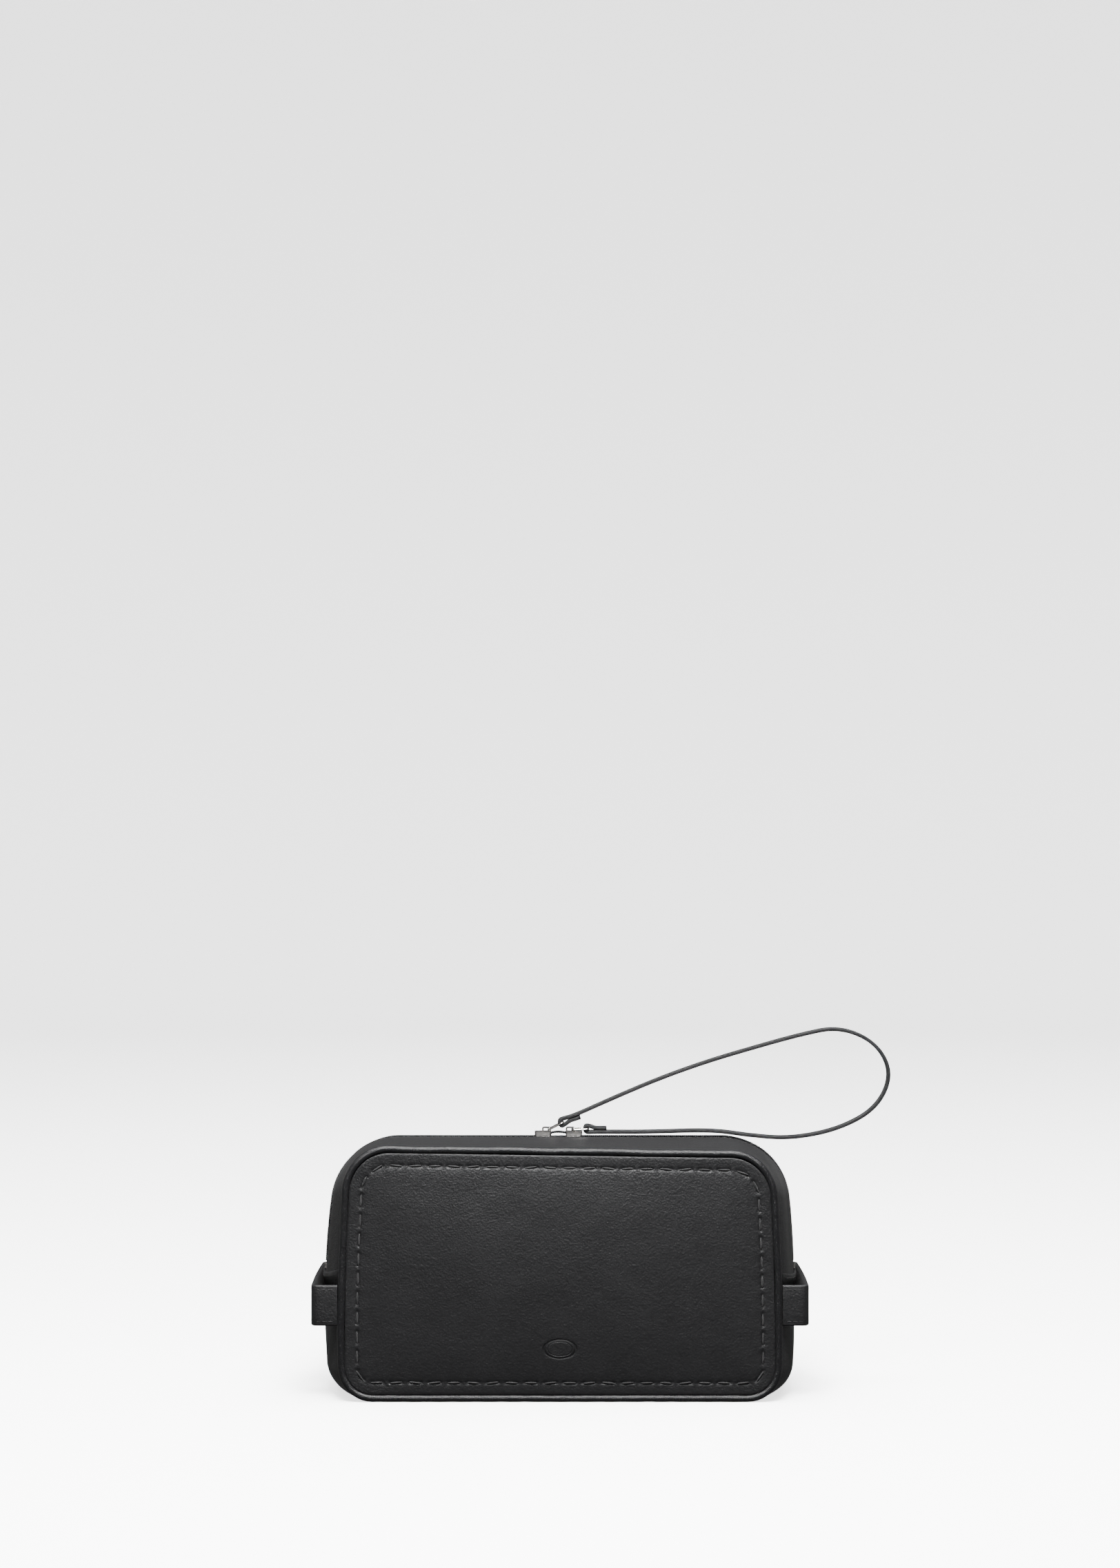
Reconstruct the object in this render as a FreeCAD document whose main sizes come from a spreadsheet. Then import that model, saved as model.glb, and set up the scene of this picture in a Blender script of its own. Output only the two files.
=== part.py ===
import FreeCAD, Part
import math
import os
import Sketcher
from FreeCAD import Placement, Rotation, Vector

# A soft leather makeup bag. X runs along its width, its front faces -Y and Z is up.
# The origin is the centre of its flat base. All sizes are in millimetres.
SIZES = {
    # Seam line between each panel and the gusset, which is also the piping's centre line.
    "seam_half": 118,  # half width at the widest height
    "seam_crest": 30,  # height of that widest place
    "seam_side_radius": 1400,  # the sides bow this gently
    "seam_base": 2,
    "seam_top": 135,
    "seam_base_corner": 17,
    "seam_top_corner": 24,
    "seam_depth": 50,  # from the middle plane to each seam
    "piping_radius": 2,
    # The gusset bulges from its edge at the seams to its middle section.
    "edge_overhang": 1.2,  # beyond the seam line
    "edge_depth": 47.9,
    "middle_half": 129.5,
    "middle_crest": 47,
    "middle_side_radius": 480,
    "middle_top": 139,
    "middle_base_corner": 16,
    "middle_top_corner": 38,
    "base_trim": 0.1,  # shaved off under the base, so that it is truly flat
    # Plies.
    "leather": 1.4,
    "ply_gap": 0.2,
    "lining": 0.5,
    "foam": 3.4,
    "panel_depth": 48.4,  # from the middle plane to a panel's inner side
    "panel_puff": 5,  # how far a panel stands out from there
    "panel_edge": 3.5,  # radius of the rounded edge
    "panel_gap": 0.05,
    "lining_short": 0.75,  # from the gusset's edge to its lining's
    "lip_lining_short": 1.5,
    "board": 1.5,
    "board_long": 200,
    "board_wide": 90,
    # Where the gusset's pieces meet.
    "lap_height": 65,  # top of the base gusset at the sides
    "lap_gap": 0.15,
    "mouth_half": 80,  # the lips open over this half length
    "mouth_gap": 0.25,
    "lip_edge": 5.5,  # from the zip's middle to the leather
    "hinge_depth": 47,
    "lip_floor": 118,  # a height below both lips
    # Zip.
    "tape_out": 12,
    "tape_in": 2.6,
    "coil_near": 0.05,  # each coil's side next to the other coil, where the zip is closed
    "coil_wide": 2.3,
    "coil_proud": 0.8,  # above the leather
    "coil_part": 1.35,  # the same side where the zip is open, between the sliders
    "part_outside": 5.98,  # from a slider's middle: outside its tail
    "part_start": 1.56,  # where the coils start to part
    "part_end": 2.94,  # where they have parted
    "stop_base": 66,
    "stop_long": 3,
    "stop_half": 2.5,
    "stop_low": 127.45,
    "stop_thick": 2.4,
    # Sliders. Each is drawn with its nose towards +X and its underside at height 0.
    "slider_left_x": -9.4,
    "slider_right_x": 7.7,
    "slider_foot": 135.5,
    "slider_long": 9.2,
    "slider_nose_half": 4.7,
    "slider_tail_half": 3.4,
    "slider_flange": 0.7,
    "slider_plate": 1,
    "slider_slot": 1.2,  # height of the gap that the tapes run in
    "slider_channel": 3.7,
    "slider_high": 5.9,
    "slider_corner": 1.2,
    "post_long": 3.7,
    "post_half": 1.1,
    "bail_low": -0.6,
    "bail_long": 5.2,
    "bail_high": 2.4,
    "bail_thick": 1.6,
    "bail_foot": 1,
    "bail_roof": 0.8,
    "bail_corner": 1.2,
    # Wire links.
    "link_long": 9,
    "link_half": 3.9,
    "link_corner": 1.2,
    "wire_radius": 0.5,
    "link_height": 142.3,
    "link_left_x": -6.35,
    "link_right_x": 6.7,
    "link_left_tilt": 27,
    "link_right_tilt": 3,
    # Wrist strap.
    "strap_wide": 6,
    "strap_thick": 2,
    "strap_fold": 1.7,  # from a link's bar to the middle line of the strap folded round it
    "strap_fold_tab": 2.2,  # the same, on the side of the folded tab
    "strap_fold_corner": 1.36,
    "strap_tab_end": 9.5,  # along the strap from the bar
    "strap_tab_kink": 5,  # where the tab comes to lie on the strand
    "strap_strand": 8,  # where the strand starts to bend
    "strap_left_slope": 18,  # the left fold's tilt, in degrees
    # Side handles.
    "handle_low": 41,
    "handle_wide": 22,
    "handle_thick": 2.5,
    "handle_start": 120.1,
    "handle_out": 133.25,
    "handle_depth": 49.2,
    "handle_corner": 5,
}

FRONT = Placement()
BACK = Placement(Vector(), Rotation(Vector(0, 0, 1), 180))

doc = FreeCAD.newDocument("makeup_bag")
sheet = doc.addObject("Spreadsheet::Sheet", "Sizes")
for row, (word, value) in enumerate(SIZES.items(), start=1):
    sheet.set(f"A{row}", word)
    sheet.set(f"B{row}", str(value))
    sheet.setAlias(f"B{row}", word)
doc.recompute()

nodes = []


def size(word):
    """The value of one driving dimension."""
    return float(sheet.get(word))


def bound(text):
    """An expression written with the dimensions' plain words, as the document wants it."""
    words = sorted(SIZES, key=len, reverse=True)
    for word in words:
        text = text.replace(word, f"<{words.index(word)}>")
    for place, word in enumerate(words):
        text = text.replace(f"<{place}>", f"Sizes.{word}")
    return text


# ---- Sketches ----


def sketch_on(body, name, role, offset="0"):
    """A sketch on one of a body's own origin planes, moved along the plane's normal."""
    sketch = body.newObject("Sketcher::SketchObject", name)
    plane = next(item for item in body.Origin.OriginFeatures if item.Role == role)
    sketch.AttachmentSupport = [(plane, "")]
    sketch.MapMode = "FlatFace"
    sketch.setExpression("AttachmentOffset.Base.z", bound(offset))
    return sketch


def dimension(sketch, constraint, text):
    """Add a constraint whose value follows the sheet."""
    place = sketch.addConstraint(constraint)
    sketch.setExpression(f"Constraints[{place}]", bound(text))


def place_point(sketch, geometry, end, across, up):
    """Hold one end of a line at a place given by two expressions."""
    for kind, text in (("DistanceX", across), ("DistanceY", up)):
        value = sketch.evalExpression(bound(text))
        dimension(sketch, Sketcher.Constraint(kind, -1, 1, geometry, end, value), text)


def polygon(sketch, corners):
    """A closed polygon through corners, each a pair of expressions."""
    points = [
        Vector(*(sketch.evalExpression(bound(text)) for text in corner)) for corner in corners
    ]
    for start, end in zip(points, points[1:] + points[:1]):
        sketch.addGeometry(Part.LineSegment(start, end))
    for line in range(len(points)):
        following = (line + 1) % len(points)
        sketch.addConstraint(Sketcher.Constraint("Coincident", line, 2, following, 1))
        place_point(sketch, line, 1, *corners[line])


def circle(sketch, across, up, radius):
    """A circle at a place given by expressions."""
    x, y, r = (sketch.evalExpression(bound(text)) for text in (across, up, radius))
    ring = sketch.addGeometry(Part.Circle(Vector(x, y, 0), Vector(0, 0, 1), r))
    dimension(sketch, Sketcher.Constraint("Radius", ring, r), radius)
    place_point(sketch, ring, 3, across, up)


def arc(x, y, radius, start, end):
    """An arc drawn anticlockwise from one angle to a larger one, in radians."""
    return Part.ArcOfCircle(Part.Circle(Vector(x, y, 0), Vector(0, 0, 1), radius), start, end)


def outline(sketch, half, crest, side, base, top, base_corner, top_corner):
    """A closed outline: flat base and top, bowed sides, round corners. It starts mid-base."""
    texts = (half, crest, side, base, top, base_corner, top_corner)
    half_v, crest_v, side_v, base_v, top_v, low_v, high_v = (
        float(sketch.evalExpression(bound(text))) for text in texts
    )
    centre = half_v - side_v
    low_rise = base_v + low_v - crest_v
    high_rise = top_v - high_v - crest_v
    low_x = centre + math.sqrt((side_v - low_v) ** 2 - low_rise**2)
    high_x = centre + math.sqrt((side_v - high_v) ** 2 - high_rise**2)
    low_turn = math.atan2(low_rise, low_x - centre)
    high_turn = math.atan2(high_rise, high_x - centre)
    low_y = base_v + low_v
    high_y = top_v - high_v
    quarter = math.pi / 2
    pieces = [
        Part.LineSegment(Vector(0, base_v, 0), Vector(low_x, base_v, 0)),
        arc(low_x, low_y, low_v, -quarter, low_turn),
        arc(centre, crest_v, side_v, low_turn, high_turn),
        arc(high_x, high_y, high_v, high_turn, quarter),
        Part.LineSegment(Vector(high_x, top_v, 0), Vector(-high_x, top_v, 0)),
        arc(-high_x, high_y, high_v, quarter, math.pi - high_turn),
        arc(-centre, crest_v, side_v, math.pi - high_turn, math.pi - low_turn),
        arc(-low_x, low_y, low_v, math.pi - low_turn, 3 * quarter),
        Part.LineSegment(Vector(-low_x, base_v, 0), Vector(0, base_v, 0)),
    ]
    for piece in pieces:
        sketch.addGeometry(piece)
    for place in range(8):
        sketch.addConstraint(Sketcher.Constraint("Tangent", place, 2, place + 1, 1))
    sketch.addConstraint(Sketcher.Constraint("Coincident", 8, 2, 0, 1))
    sketch.addConstraint(Sketcher.Constraint("Horizontal", 0))
    sketch.addConstraint(Sketcher.Constraint("Horizontal", 4))
    sketch.addConstraint(Sketcher.Constraint("Horizontal", 8))
    sketch.addConstraint(Sketcher.Constraint("PointOnObject", 0, 1, -2))
    for near, far in ((1, 7), (2, 6), (3, 5)):
        sketch.addConstraint(Sketcher.Constraint("Equal", near, far))
    sketch.addConstraint(Sketcher.Constraint("Symmetric", 2, 3, 6, 3, -2))
    dimension(sketch, Sketcher.Constraint("DistanceY", -1, 1, 0, 1, base_v), base)
    dimension(sketch, Sketcher.Constraint("DistanceY", -1, 1, 4, 1, top_v), top)
    dimension(sketch, Sketcher.Constraint("Radius", 1, low_v), base_corner)
    dimension(sketch, Sketcher.Constraint("Radius", 3, high_v), top_corner)
    dimension(sketch, Sketcher.Constraint("Radius", 2, side_v), side)
    place_point(sketch, 2, 3, f"{half} - ({side})", crest)


def seam_outline(sketch, inset):
    """The seam's outline, moved inwards by inset."""
    outline(
        sketch,
        f"seam_half - ({inset})",
        "seam_crest",
        f"seam_side_radius - ({inset})",
        f"seam_base + {inset}",
        f"seam_top - ({inset})",
        f"seam_base_corner - ({inset})",
        f"seam_top_corner - ({inset})",
    )


# ---- Features ----


def new_body(name):
    """An empty body."""
    return doc.addObject("PartDesign::Body", name)


def keep(item, label):
    """Make a finished object one of the bag's sub-parts."""
    item.Label = label
    nodes.append(item)
    return item


def pad(body, sketch, length, both_ways=False):
    """Thicken a sketch along its normal."""
    feature = body.newObject("PartDesign::Pad", f"{sketch.Name}_pad")
    feature.Profile = sketch
    feature.setExpression("Length", bound(length))
    if both_ways:
        feature.SideType = "Symmetric"
    return feature


def pocket(body, sketch, length, along_normal=False):
    """Cut a sketch's area away, against its normal unless told otherwise."""
    before = body.Shape.Volume
    feature = body.newObject("PartDesign::Pocket", f"{sketch.Name}_pocket")
    feature.Profile = sketch
    feature.Reversed = along_normal
    feature.setExpression("Length", bound(length))
    doc.recompute()
    assert feature.Shape.Volume < before - 0.01, f"{feature.Name} cuts nothing"
    return feature


def fillet(body, base, radius, wanted):
    """Round the edges of a feature that the test picks."""
    doc.recompute()
    edges = [f"Edge{i}" for i, edge in enumerate(base.Shape.Edges, start=1) if wanted(edge)]
    feature = body.newObject("PartDesign::Fillet", f"{base.Name}_round")
    feature.Base = (base, edges)
    feature.setExpression("Radius", bound(radius))
    return feature


def pipe(body, profile, path):
    """Sweep a profile along a path."""
    feature = body.newObject("PartDesign::AdditivePipe", f"{path.Name}_pipe")
    feature.Profile = profile
    feature.Spine = (path, [])
    return feature


def block(name, x, y, z):
    """A plain box between pairs of expressions, used to trim other solids."""
    box = doc.addObject("Part::Box", name)
    for edge, axis, (low, high) in zip(("Length", "Width", "Height"), "xyz", (x, y, z)):
        box.setExpression(edge, bound(f"({high}) - ({low})"))
        box.setExpression(f"Placement.Base.{axis}", bound(low))
    return box


def boolean(kind, name, base, tool):
    """Join, cut or intersect two solids."""
    item = doc.addObject(f"Part::{kind}", name)
    item.Base = base
    item.Tool = tool
    return item


# ---- Panels, piping and handles ----


def build_panel(side, turn):
    """A padded panel: a leather skin with rounded edges, hollow behind for the foam."""
    body = keep(new_body(f"{side}_panel_body"), f"{side}_panel")
    inset = "piping_radius + panel_gap"
    face = sketch_on(body, f"{side}_panel_outline", "XZ_Plane", "panel_depth")
    seam_outline(face, inset)
    slab = pad(body, face, "panel_puff")
    front = -size("panel_depth") - size("panel_puff")
    fillet(body, slab, "panel_edge", lambda edge: abs(edge.BoundBox.YMax - front) < 0.01)
    doc.recompute()
    hollow = sketch_on(body, f"{side}_panel_hollow", "XZ_Plane", "panel_depth")
    seam_outline(hollow, f"{inset} + leather")
    pocket(body, hollow, "panel_puff - leather", along_normal=True)
    body.Placement = turn


def build_slab(label, turn, inset, depth, thick):
    """A flat ply of a panel's outline."""
    body = keep(new_body(f"{label}_body"), label)
    face = sketch_on(body, f"{label}_outline", "XZ_Plane", depth)
    seam_outline(face, inset)
    pad(body, face, thick)
    body.Placement = turn


def build_piping(side, turn):
    """The leather-covered cord sewn all round a panel."""
    body = keep(new_body(f"{side}_piping_body"), f"{side}_piping")
    path = sketch_on(body, f"{side}_piping_path", "XZ_Plane", "seam_depth")
    seam_outline(path, "0")
    section = sketch_on(body, f"{side}_piping_section", "YZ_Plane")
    circle(section, "0 - seam_depth", "seam_base", "piping_radius")
    pipe(body, section, path)
    body.Placement = turn


def build_handle(side, turn):
    """A flat band that leaves the front seam, turns, runs back and turns in to the back seam."""
    body = keep(new_body(f"handle_{side}_body"), f"side_handle_{side}")
    path = sketch_on(body, f"handle_{side}_path", "XY_Plane", "handle_low + handle_wide / 2")
    start, out = size("handle_start"), size("handle_out")
    depth, corner = size("handle_depth"), size("handle_corner")
    inside, straight = out - corner, depth - corner
    quarter = math.pi / 2
    pieces = [
        Part.LineSegment(Vector(start, -depth, 0), Vector(inside, -depth, 0)),
        arc(inside, -straight, corner, -quarter, 0),
        Part.LineSegment(Vector(out, -straight, 0), Vector(out, straight, 0)),
        arc(inside, straight, corner, 0, quarter),
        Part.LineSegment(Vector(inside, depth, 0), Vector(start, depth, 0)),
    ]
    for piece in pieces:
        path.addGeometry(piece)
    for place in range(4):
        path.addConstraint(Sketcher.Constraint("Tangent", place, 2, place + 1, 1))
    path.addConstraint(Sketcher.Constraint("Vertical", 2))
    path.addConstraint(Sketcher.Constraint("Equal", 1, 3))
    dimension(path, Sketcher.Constraint("Radius", 1, corner), "handle_corner")
    dimension(path, Sketcher.Constraint("DistanceX", -1, 1, 2, 1, out), "handle_out")
    place_point(path, 0, 1, "handle_start", "0 - handle_depth")
    place_point(path, 4, 2, "handle_start", "handle_depth")
    section = sketch_on(body, f"handle_{side}_section", "YZ_Plane", "handle_start")
    near, far = "handle_thick / 2 - handle_depth", "0 - handle_depth - handle_thick / 2"
    low, high = "handle_low", "handle_low + handle_wide"
    polygon(section, [(far, low), (near, low), (near, high), (far, high)])
    pipe(body, section, path)
    body.Placement = turn


# ---- Gusset: forms, skins between them, and pieces trimmed from the skins ----


def build_form(name, inset, base):
    """The space inside the bag's outer shape, moved inwards by inset, standing at base."""
    body = new_body(name)
    edge = (
        f"seam_half + edge_overhang - ({inset})",
        "seam_crest",
        f"seam_side_radius - ({inset})",
        base,
        f"seam_top + edge_overhang - ({inset})",
        f"seam_base_corner + edge_overhang - ({inset})",
        f"seam_top_corner + edge_overhang - ({inset})",
    )
    middle = (
        f"middle_half - ({inset})",
        "middle_crest",
        f"middle_side_radius - ({inset})",
        base,
        f"middle_top - ({inset})",
        f"middle_base_corner - ({inset})",
        f"middle_top_corner - ({inset})",
    )
    sections = []
    for place, depth, sizes in (
        ("front", "edge_depth", edge),
        ("middle", "0", middle),
        ("back", "0 - edge_depth", edge),
    ):
        section = sketch_on(body, f"{name}_{place}", "XZ_Plane", depth)
        outline(section, *sizes)
        sections.append(section)
    loft = body.newObject("PartDesign::AdditiveLoft", f"{name}_loft")
    loft.Profile = sections[0]
    loft.Sections = sections[1:]
    return body


def build_gusset():
    """The leather between the two panels: a base piece, and zip strips with lifting lips."""
    outer = build_form("leather_outside", "0", "0 - base_trim")
    inner = build_form("leather_inside", "leather", "leather")
    skin = boolean("Cut", "leather_skin", outer, inner)
    wide, deep, tall = "seam_half * 2", "seam_depth * 2", "seam_top * 2"
    base = block(
        "base_zone", (f"0 - {wide}", wide), (f"0 - {deep}", deep), ("0", "lap_height")
    )
    keep(boolean("Common", "base_gusset_piece", skin, base), "base_gusset")
    lips = {
        "front": ("0 - hinge_depth + mouth_gap", "0 - lip_edge"),
        "back": ("lip_edge", "hinge_depth - mouth_gap"),
    }
    edges = {"front": (f"0 - {deep}", "0 - lip_edge"), "back": ("lip_edge", deep)}
    ends = {
        "left": (f"0 - {wide}", "0 - mouth_half - mouth_gap"),
        "right": ("mouth_half + mouth_gap", wide),
    }
    for side in ("front", "back"):
        for end, reach in ends.items():
            zone = block(
                f"{side}_{end}_zone", reach, edges[side], ("lap_height + lap_gap", tall)
            )
            piece = boolean("Common", f"gusset_{side}_{end}_piece", skin, zone)
            keep(piece, f"gusset_{side}_{end}")
        zone = block(
            f"{side}_lip_zone", ("0 - mouth_half", "mouth_half"), lips[side], ("lip_floor", tall)
        )
        keep(boolean("Common", f"mouth_flap_{side}_piece", skin, zone), f"mouth_flap_{side}")


def build_lining_and_tapes():
    """The lining of the gusset and the zip's tapes, which lie in one layer."""
    leather = "leather + ply_gap"
    outer = build_form("lining_outside", leather, f"{leather} + board + ply_gap")
    inner = build_form("lining_inside", f"{leather} + lining", f"{leather} + board + ply_gap + lining")
    skin = boolean("Cut", "lining_skin", outer, inner)
    wide, deep, tall = "seam_half * 2", "seam_depth * 2", "seam_top * 2"
    short = "edge_depth - lining_short"
    body_zone = block("lining_zone", (f"0 - {wide}", wide), (f"0 - ({short})", short), ("0", tall))
    slit = block(
        "slit_zone",
        (f"0 - {wide}", wide),
        ("0 - tape_out - mouth_gap", "tape_out + mouth_gap"),
        ("lap_height", tall),
    )
    mouth = block(
        "mouth_zone",
        ("0 - mouth_half - mouth_gap", "mouth_half + mouth_gap"),
        (f"0 - {deep}", deep),
        ("lip_floor", tall),
    )
    whole = boolean("Common", "lining_trimmed", skin, body_zone)
    slotted = boolean("Cut", "lining_slotted", whole, slit)
    keep(boolean("Cut", "gusset_lining_piece", slotted, mouth), "gusset_lining")
    lips = {
        "front": ("0 - hinge_depth + lip_lining_short", "0 - tape_out - mouth_gap"),
        "back": ("tape_out + mouth_gap", "hinge_depth - lip_lining_short"),
    }
    tapes = {"front": ("0 - tape_out", "0 - tape_in"), "back": ("tape_in", "tape_out")}
    for side in ("front", "back"):
        lip = block(
            f"{side}_lip_lining_zone",
            ("0 - mouth_half", "mouth_half"),
            lips[side],
            ("lip_floor", tall),
        )
        keep(boolean("Common", f"mouth_lining_{side}_piece", skin, lip), f"mouth_lining_{side}")
        tape = block(
            f"{side}_tape_zone",
            (f"0 - {wide}", wide),
            tapes[side],
            ("lap_height + lap_gap", tall),
        )
        keep(boolean("Common", f"zip_tape_{side}_piece", skin, tape), f"zip_tape_{side}")


def build_coils():
    """The zip's coils, which meet in the middle and part between the two sliders."""
    outer = build_form("coil_outside", "0 - coil_proud", "0")
    skin = boolean("Cut", "coil_skin", outer, doc.getObject("leather_inside"))
    wide, tall = "seam_half * 2", "seam_top * 2"
    stations = [
        ("slider_left_x - part_outside", "coil_near"),
        ("slider_left_x - part_start", "coil_near"),
        ("slider_left_x + part_end", "coil_part"),
        ("slider_right_x - part_end", "coil_part"),
        ("slider_right_x + part_start", "coil_near"),
        ("slider_right_x + part_outside", "coil_near"),
    ]
    first, last = stations[0][0], stations[-1][0]
    for side, sign in (("front", "-1"), ("back", "1")):
        near, far = f"{sign} * coil_near", f"{sign} * (coil_near + coil_wide)"
        low, high = (far, near) if side == "front" else (near, far)
        run = block(
            f"{side}_coil_zone",
            (f"0 - {wide}", wide),
            (low, high),
            ("stop_base + stop_long + mouth_gap", tall),
        )
        gap = block(
            f"{side}_coil_gap", (first, last), ("0 - tape_out", "tape_out"), ("lip_floor", tall)
        )
        strip = boolean("Common", f"{side}_coil_strip", skin, run)
        parted = boolean("Cut", f"{side}_coil_ends", strip, gap)
        body = new_body(f"{side}_coil_middle")
        plan = sketch_on(body, f"{side}_coil_plan", "XY_Plane", "middle_top - leather")
        inside = [(x, f"{sign} * {y}") for x, y in stations]
        outside = [(x, f"{sign} * ({y} + coil_wide)") for x, y in reversed(stations)]
        polygon(plan, inside + outside)
        pad(body, plan, "leather + coil_proud")
        keep(boolean("Fuse", f"zip_coil_{side}_piece", parted, body), f"zip_coil_{side}")


def build_stops():
    """A small metal clamp over both coils at each end of the zip."""
    for side, low in (("left", "0 - stop_low - stop_thick"), ("right", "stop_low")):
        stop = block(
            f"stop_{side}",
            (low, f"{low} + stop_thick"),
            ("0 - stop_half", "stop_half"),
            ("stop_base", "stop_base + stop_long"),
        )
        keep(stop, f"zip_stop_{side}")


# ---- Sliders, links and strap ----


def build_slider(side, place):
    """A slider: two plates joined by a post at the nose, with flanges beside the coils."""
    body = keep(new_body(f"slider_{side}_body"), f"slider_{side}_body")
    nose, tail = "slider_long / 2", "0 - slider_long / 2"
    plan = sketch_on(body, f"slider_{side}_plan", "XY_Plane")
    polygon(
        plan,
        [
            (tail, "0 - slider_tail_half"),
            (nose, "0 - slider_nose_half"),
            (nose, "slider_nose_half"),
            (tail, "slider_tail_half"),
        ],
    )
    whole = pad(body, plan, "slider_high")
    fillet(body, whole, "slider_corner", lambda edge: edge.BoundBox.ZLength > 1)
    doc.recompute()
    channel = sketch_on(body, f"slider_{side}_channel", "XY_Plane", "slider_plate + slider_channel")
    polygon(
        channel,
        [
            (f"{tail} - slider_flange", "slider_flange - slider_tail_half"),
            (f"{nose} + slider_flange", "slider_flange - slider_nose_half"),
            (f"{nose} + slider_flange", "slider_nose_half - slider_flange"),
            (f"{tail} - slider_flange", "slider_tail_half - slider_flange"),
        ],
    )
    pocket(body, channel, "slider_channel")
    slot = sketch_on(body, f"slider_{side}_slot", "XY_Plane", "slider_plate + slider_slot")
    reach = "slider_nose_half * 2"
    polygon(
        slot,
        [
            (f"0 - {reach}", f"0 - {reach}"),
            (reach, f"0 - {reach}"),
            (reach, reach),
            (f"0 - {reach}", reach),
        ],
    )
    pocket(body, slot, "slider_slot")
    post = sketch_on(body, f"slider_{side}_post", "XY_Plane", "slider_plate")
    polygon(
        post,
        [
            (f"{nose} - post_long", "0"),
            (nose, "0 - post_half"),
            (nose, "post_half"),
        ],
    )
    pad(body, post, "slider_channel")
    body.Placement = place


def build_bail(side, place):
    """The arch on a slider that its link hangs from."""
    body = keep(new_body(f"slider_{side}_bail_body"), f"slider_{side}_bail")
    low, high = "slider_high", "slider_high + bail_high"
    near, far = "bail_low", "bail_low + bail_long"
    face = sketch_on(body, f"bail_{side}_face", "XZ_Plane")
    polygon(face, [(near, low), (far, low), (far, high), (near, high)])
    arch = pad(body, face, "bail_thick", both_ways=True)
    top = size("slider_high") + size("bail_high")
    fillet(
        body,
        arch,
        "bail_corner",
        lambda edge: edge.BoundBox.YLength > 1 and abs(edge.BoundBox.ZMin - top) < 0.01,
    )
    doc.recompute()
    window = sketch_on(body, f"bail_{side}_window", "XZ_Plane", "bail_thick")
    polygon(
        window,
        [
            (f"{near} + bail_foot", f"{low} - bail_foot"),
            (f"{far} - bail_foot", f"{low} - bail_foot"),
            (f"{far} - bail_foot", f"{high} - bail_roof"),
            (f"{near} + bail_foot", f"{high} - bail_roof"),
        ],
    )
    pocket(body, window, "bail_thick * 2")
    body.Placement = place


def build_link(side):
    """A rectangular wire loop, drawn flat with one bar on the origin and set at its tilt."""
    body = keep(new_body(f"link_{side}_body"), f"pull_link_{side}")
    path = sketch_on(body, f"link_{side}_path", "XY_Plane")
    long, half, corner = size("link_long"), size("link_half"), size("link_corner")
    quarter = math.pi / 2
    side_y = half - corner
    pieces = [
        Part.LineSegment(Vector(0, 0, 0), Vector(0, -side_y, 0)),
        arc(corner, -side_y, corner, 2 * quarter, 3 * quarter),
        Part.LineSegment(Vector(corner, -half, 0), Vector(long - corner, -half, 0)),
        arc(long - corner, -side_y, corner, 3 * quarter, 4 * quarter),
        Part.LineSegment(Vector(long, -side_y, 0), Vector(long, side_y, 0)),
        arc(long - corner, side_y, corner, 0, quarter),
        Part.LineSegment(Vector(long - corner, half, 0), Vector(corner, half, 0)),
        arc(corner, side_y, corner, quarter, 2 * quarter),
        Part.LineSegment(Vector(0, side_y, 0), Vector(0, 0, 0)),
    ]
    for piece in pieces:
        path.addGeometry(piece)
    for place in range(8):
        path.addConstraint(Sketcher.Constraint("Tangent", place, 2, place + 1, 1))
    path.addConstraint(Sketcher.Constraint("Coincident", 8, 2, 0, 1))
    path.addConstraint(Sketcher.Constraint("Coincident", 0, 1, -1, 1))
    for line in (0, 4, 8):
        path.addConstraint(Sketcher.Constraint("Vertical", line))
    for line in (2, 6):
        path.addConstraint(Sketcher.Constraint("Horizontal", line))
    for other in (3, 5, 7):
        path.addConstraint(Sketcher.Constraint("Equal", 1, other))
    dimension(path, Sketcher.Constraint("Radius", 1, corner), "link_corner")
    dimension(path, Sketcher.Constraint("DistanceX", -1, 1, 4, 1, long), "link_long")
    dimension(path, Sketcher.Constraint("DistanceY", -1, 1, 6, 1, half), "link_half")
    section = sketch_on(body, f"link_{side}_section", "XZ_Plane")
    circle(section, "0", "0", "wire_radius")
    pipe(body, section, path)
    pivot = Vector(size(f"link_{side}_x"), 0, size("link_height"))
    body.Placement = Placement(pivot, Rotation(Vector(0, -1, 0), size(f"link_{side}_tilt")))


def fold(side, slope, tab_side):
    """Route of the strap round a link's outer bar: tab end, kink, two corners, strand."""
    tilt = math.radians(size(f"link_{side}_tilt"))
    pivot = Vector(size(f"link_{side}_x"), 0, size("link_height"))
    bar = pivot + Vector(math.cos(tilt), 0, math.sin(tilt)) * size("link_long")
    along = Vector(math.cos(slope), 0, math.sin(slope))
    across = Vector(-math.sin(slope), 0, math.cos(slope)) * tab_side
    turn = size("strap_fold")
    tab = size("strap_thick") - turn + size("panel_gap")
    return [
        bar + along * size("strap_tab_end") + across * tab,
        bar + along * size("strap_tab_kink") + across * tab,
        bar - along * turn + across * size("strap_fold_tab"),
        bar - along * turn - across * turn,
        bar + along * size("strap_strand") - across * turn,
    ]


def strap_route():
    """The strap's middle line in the plane of the zip, from one folded end to the other."""
    loop = [
        (30, 160.0),
        (55, 170.6),
        (81, 179.9),
        (107, 187.6),
        (132, 194.6),
        (154, 199.2),
        (174.5, 190.5),
        (183.5, 173.2),
        (175, 154.2),
        (154, 142.6),
        (128, 137.4),
        (106, 138.9),
        (84, 142.2),
        (50, 141.0),
    ]
    left = fold("left", math.radians(size("strap_left_slope")), -1)
    right = fold("right", 0, 1)
    return left + [Vector(x, 0, z) for x, z in loop] + right[::-1]


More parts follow.
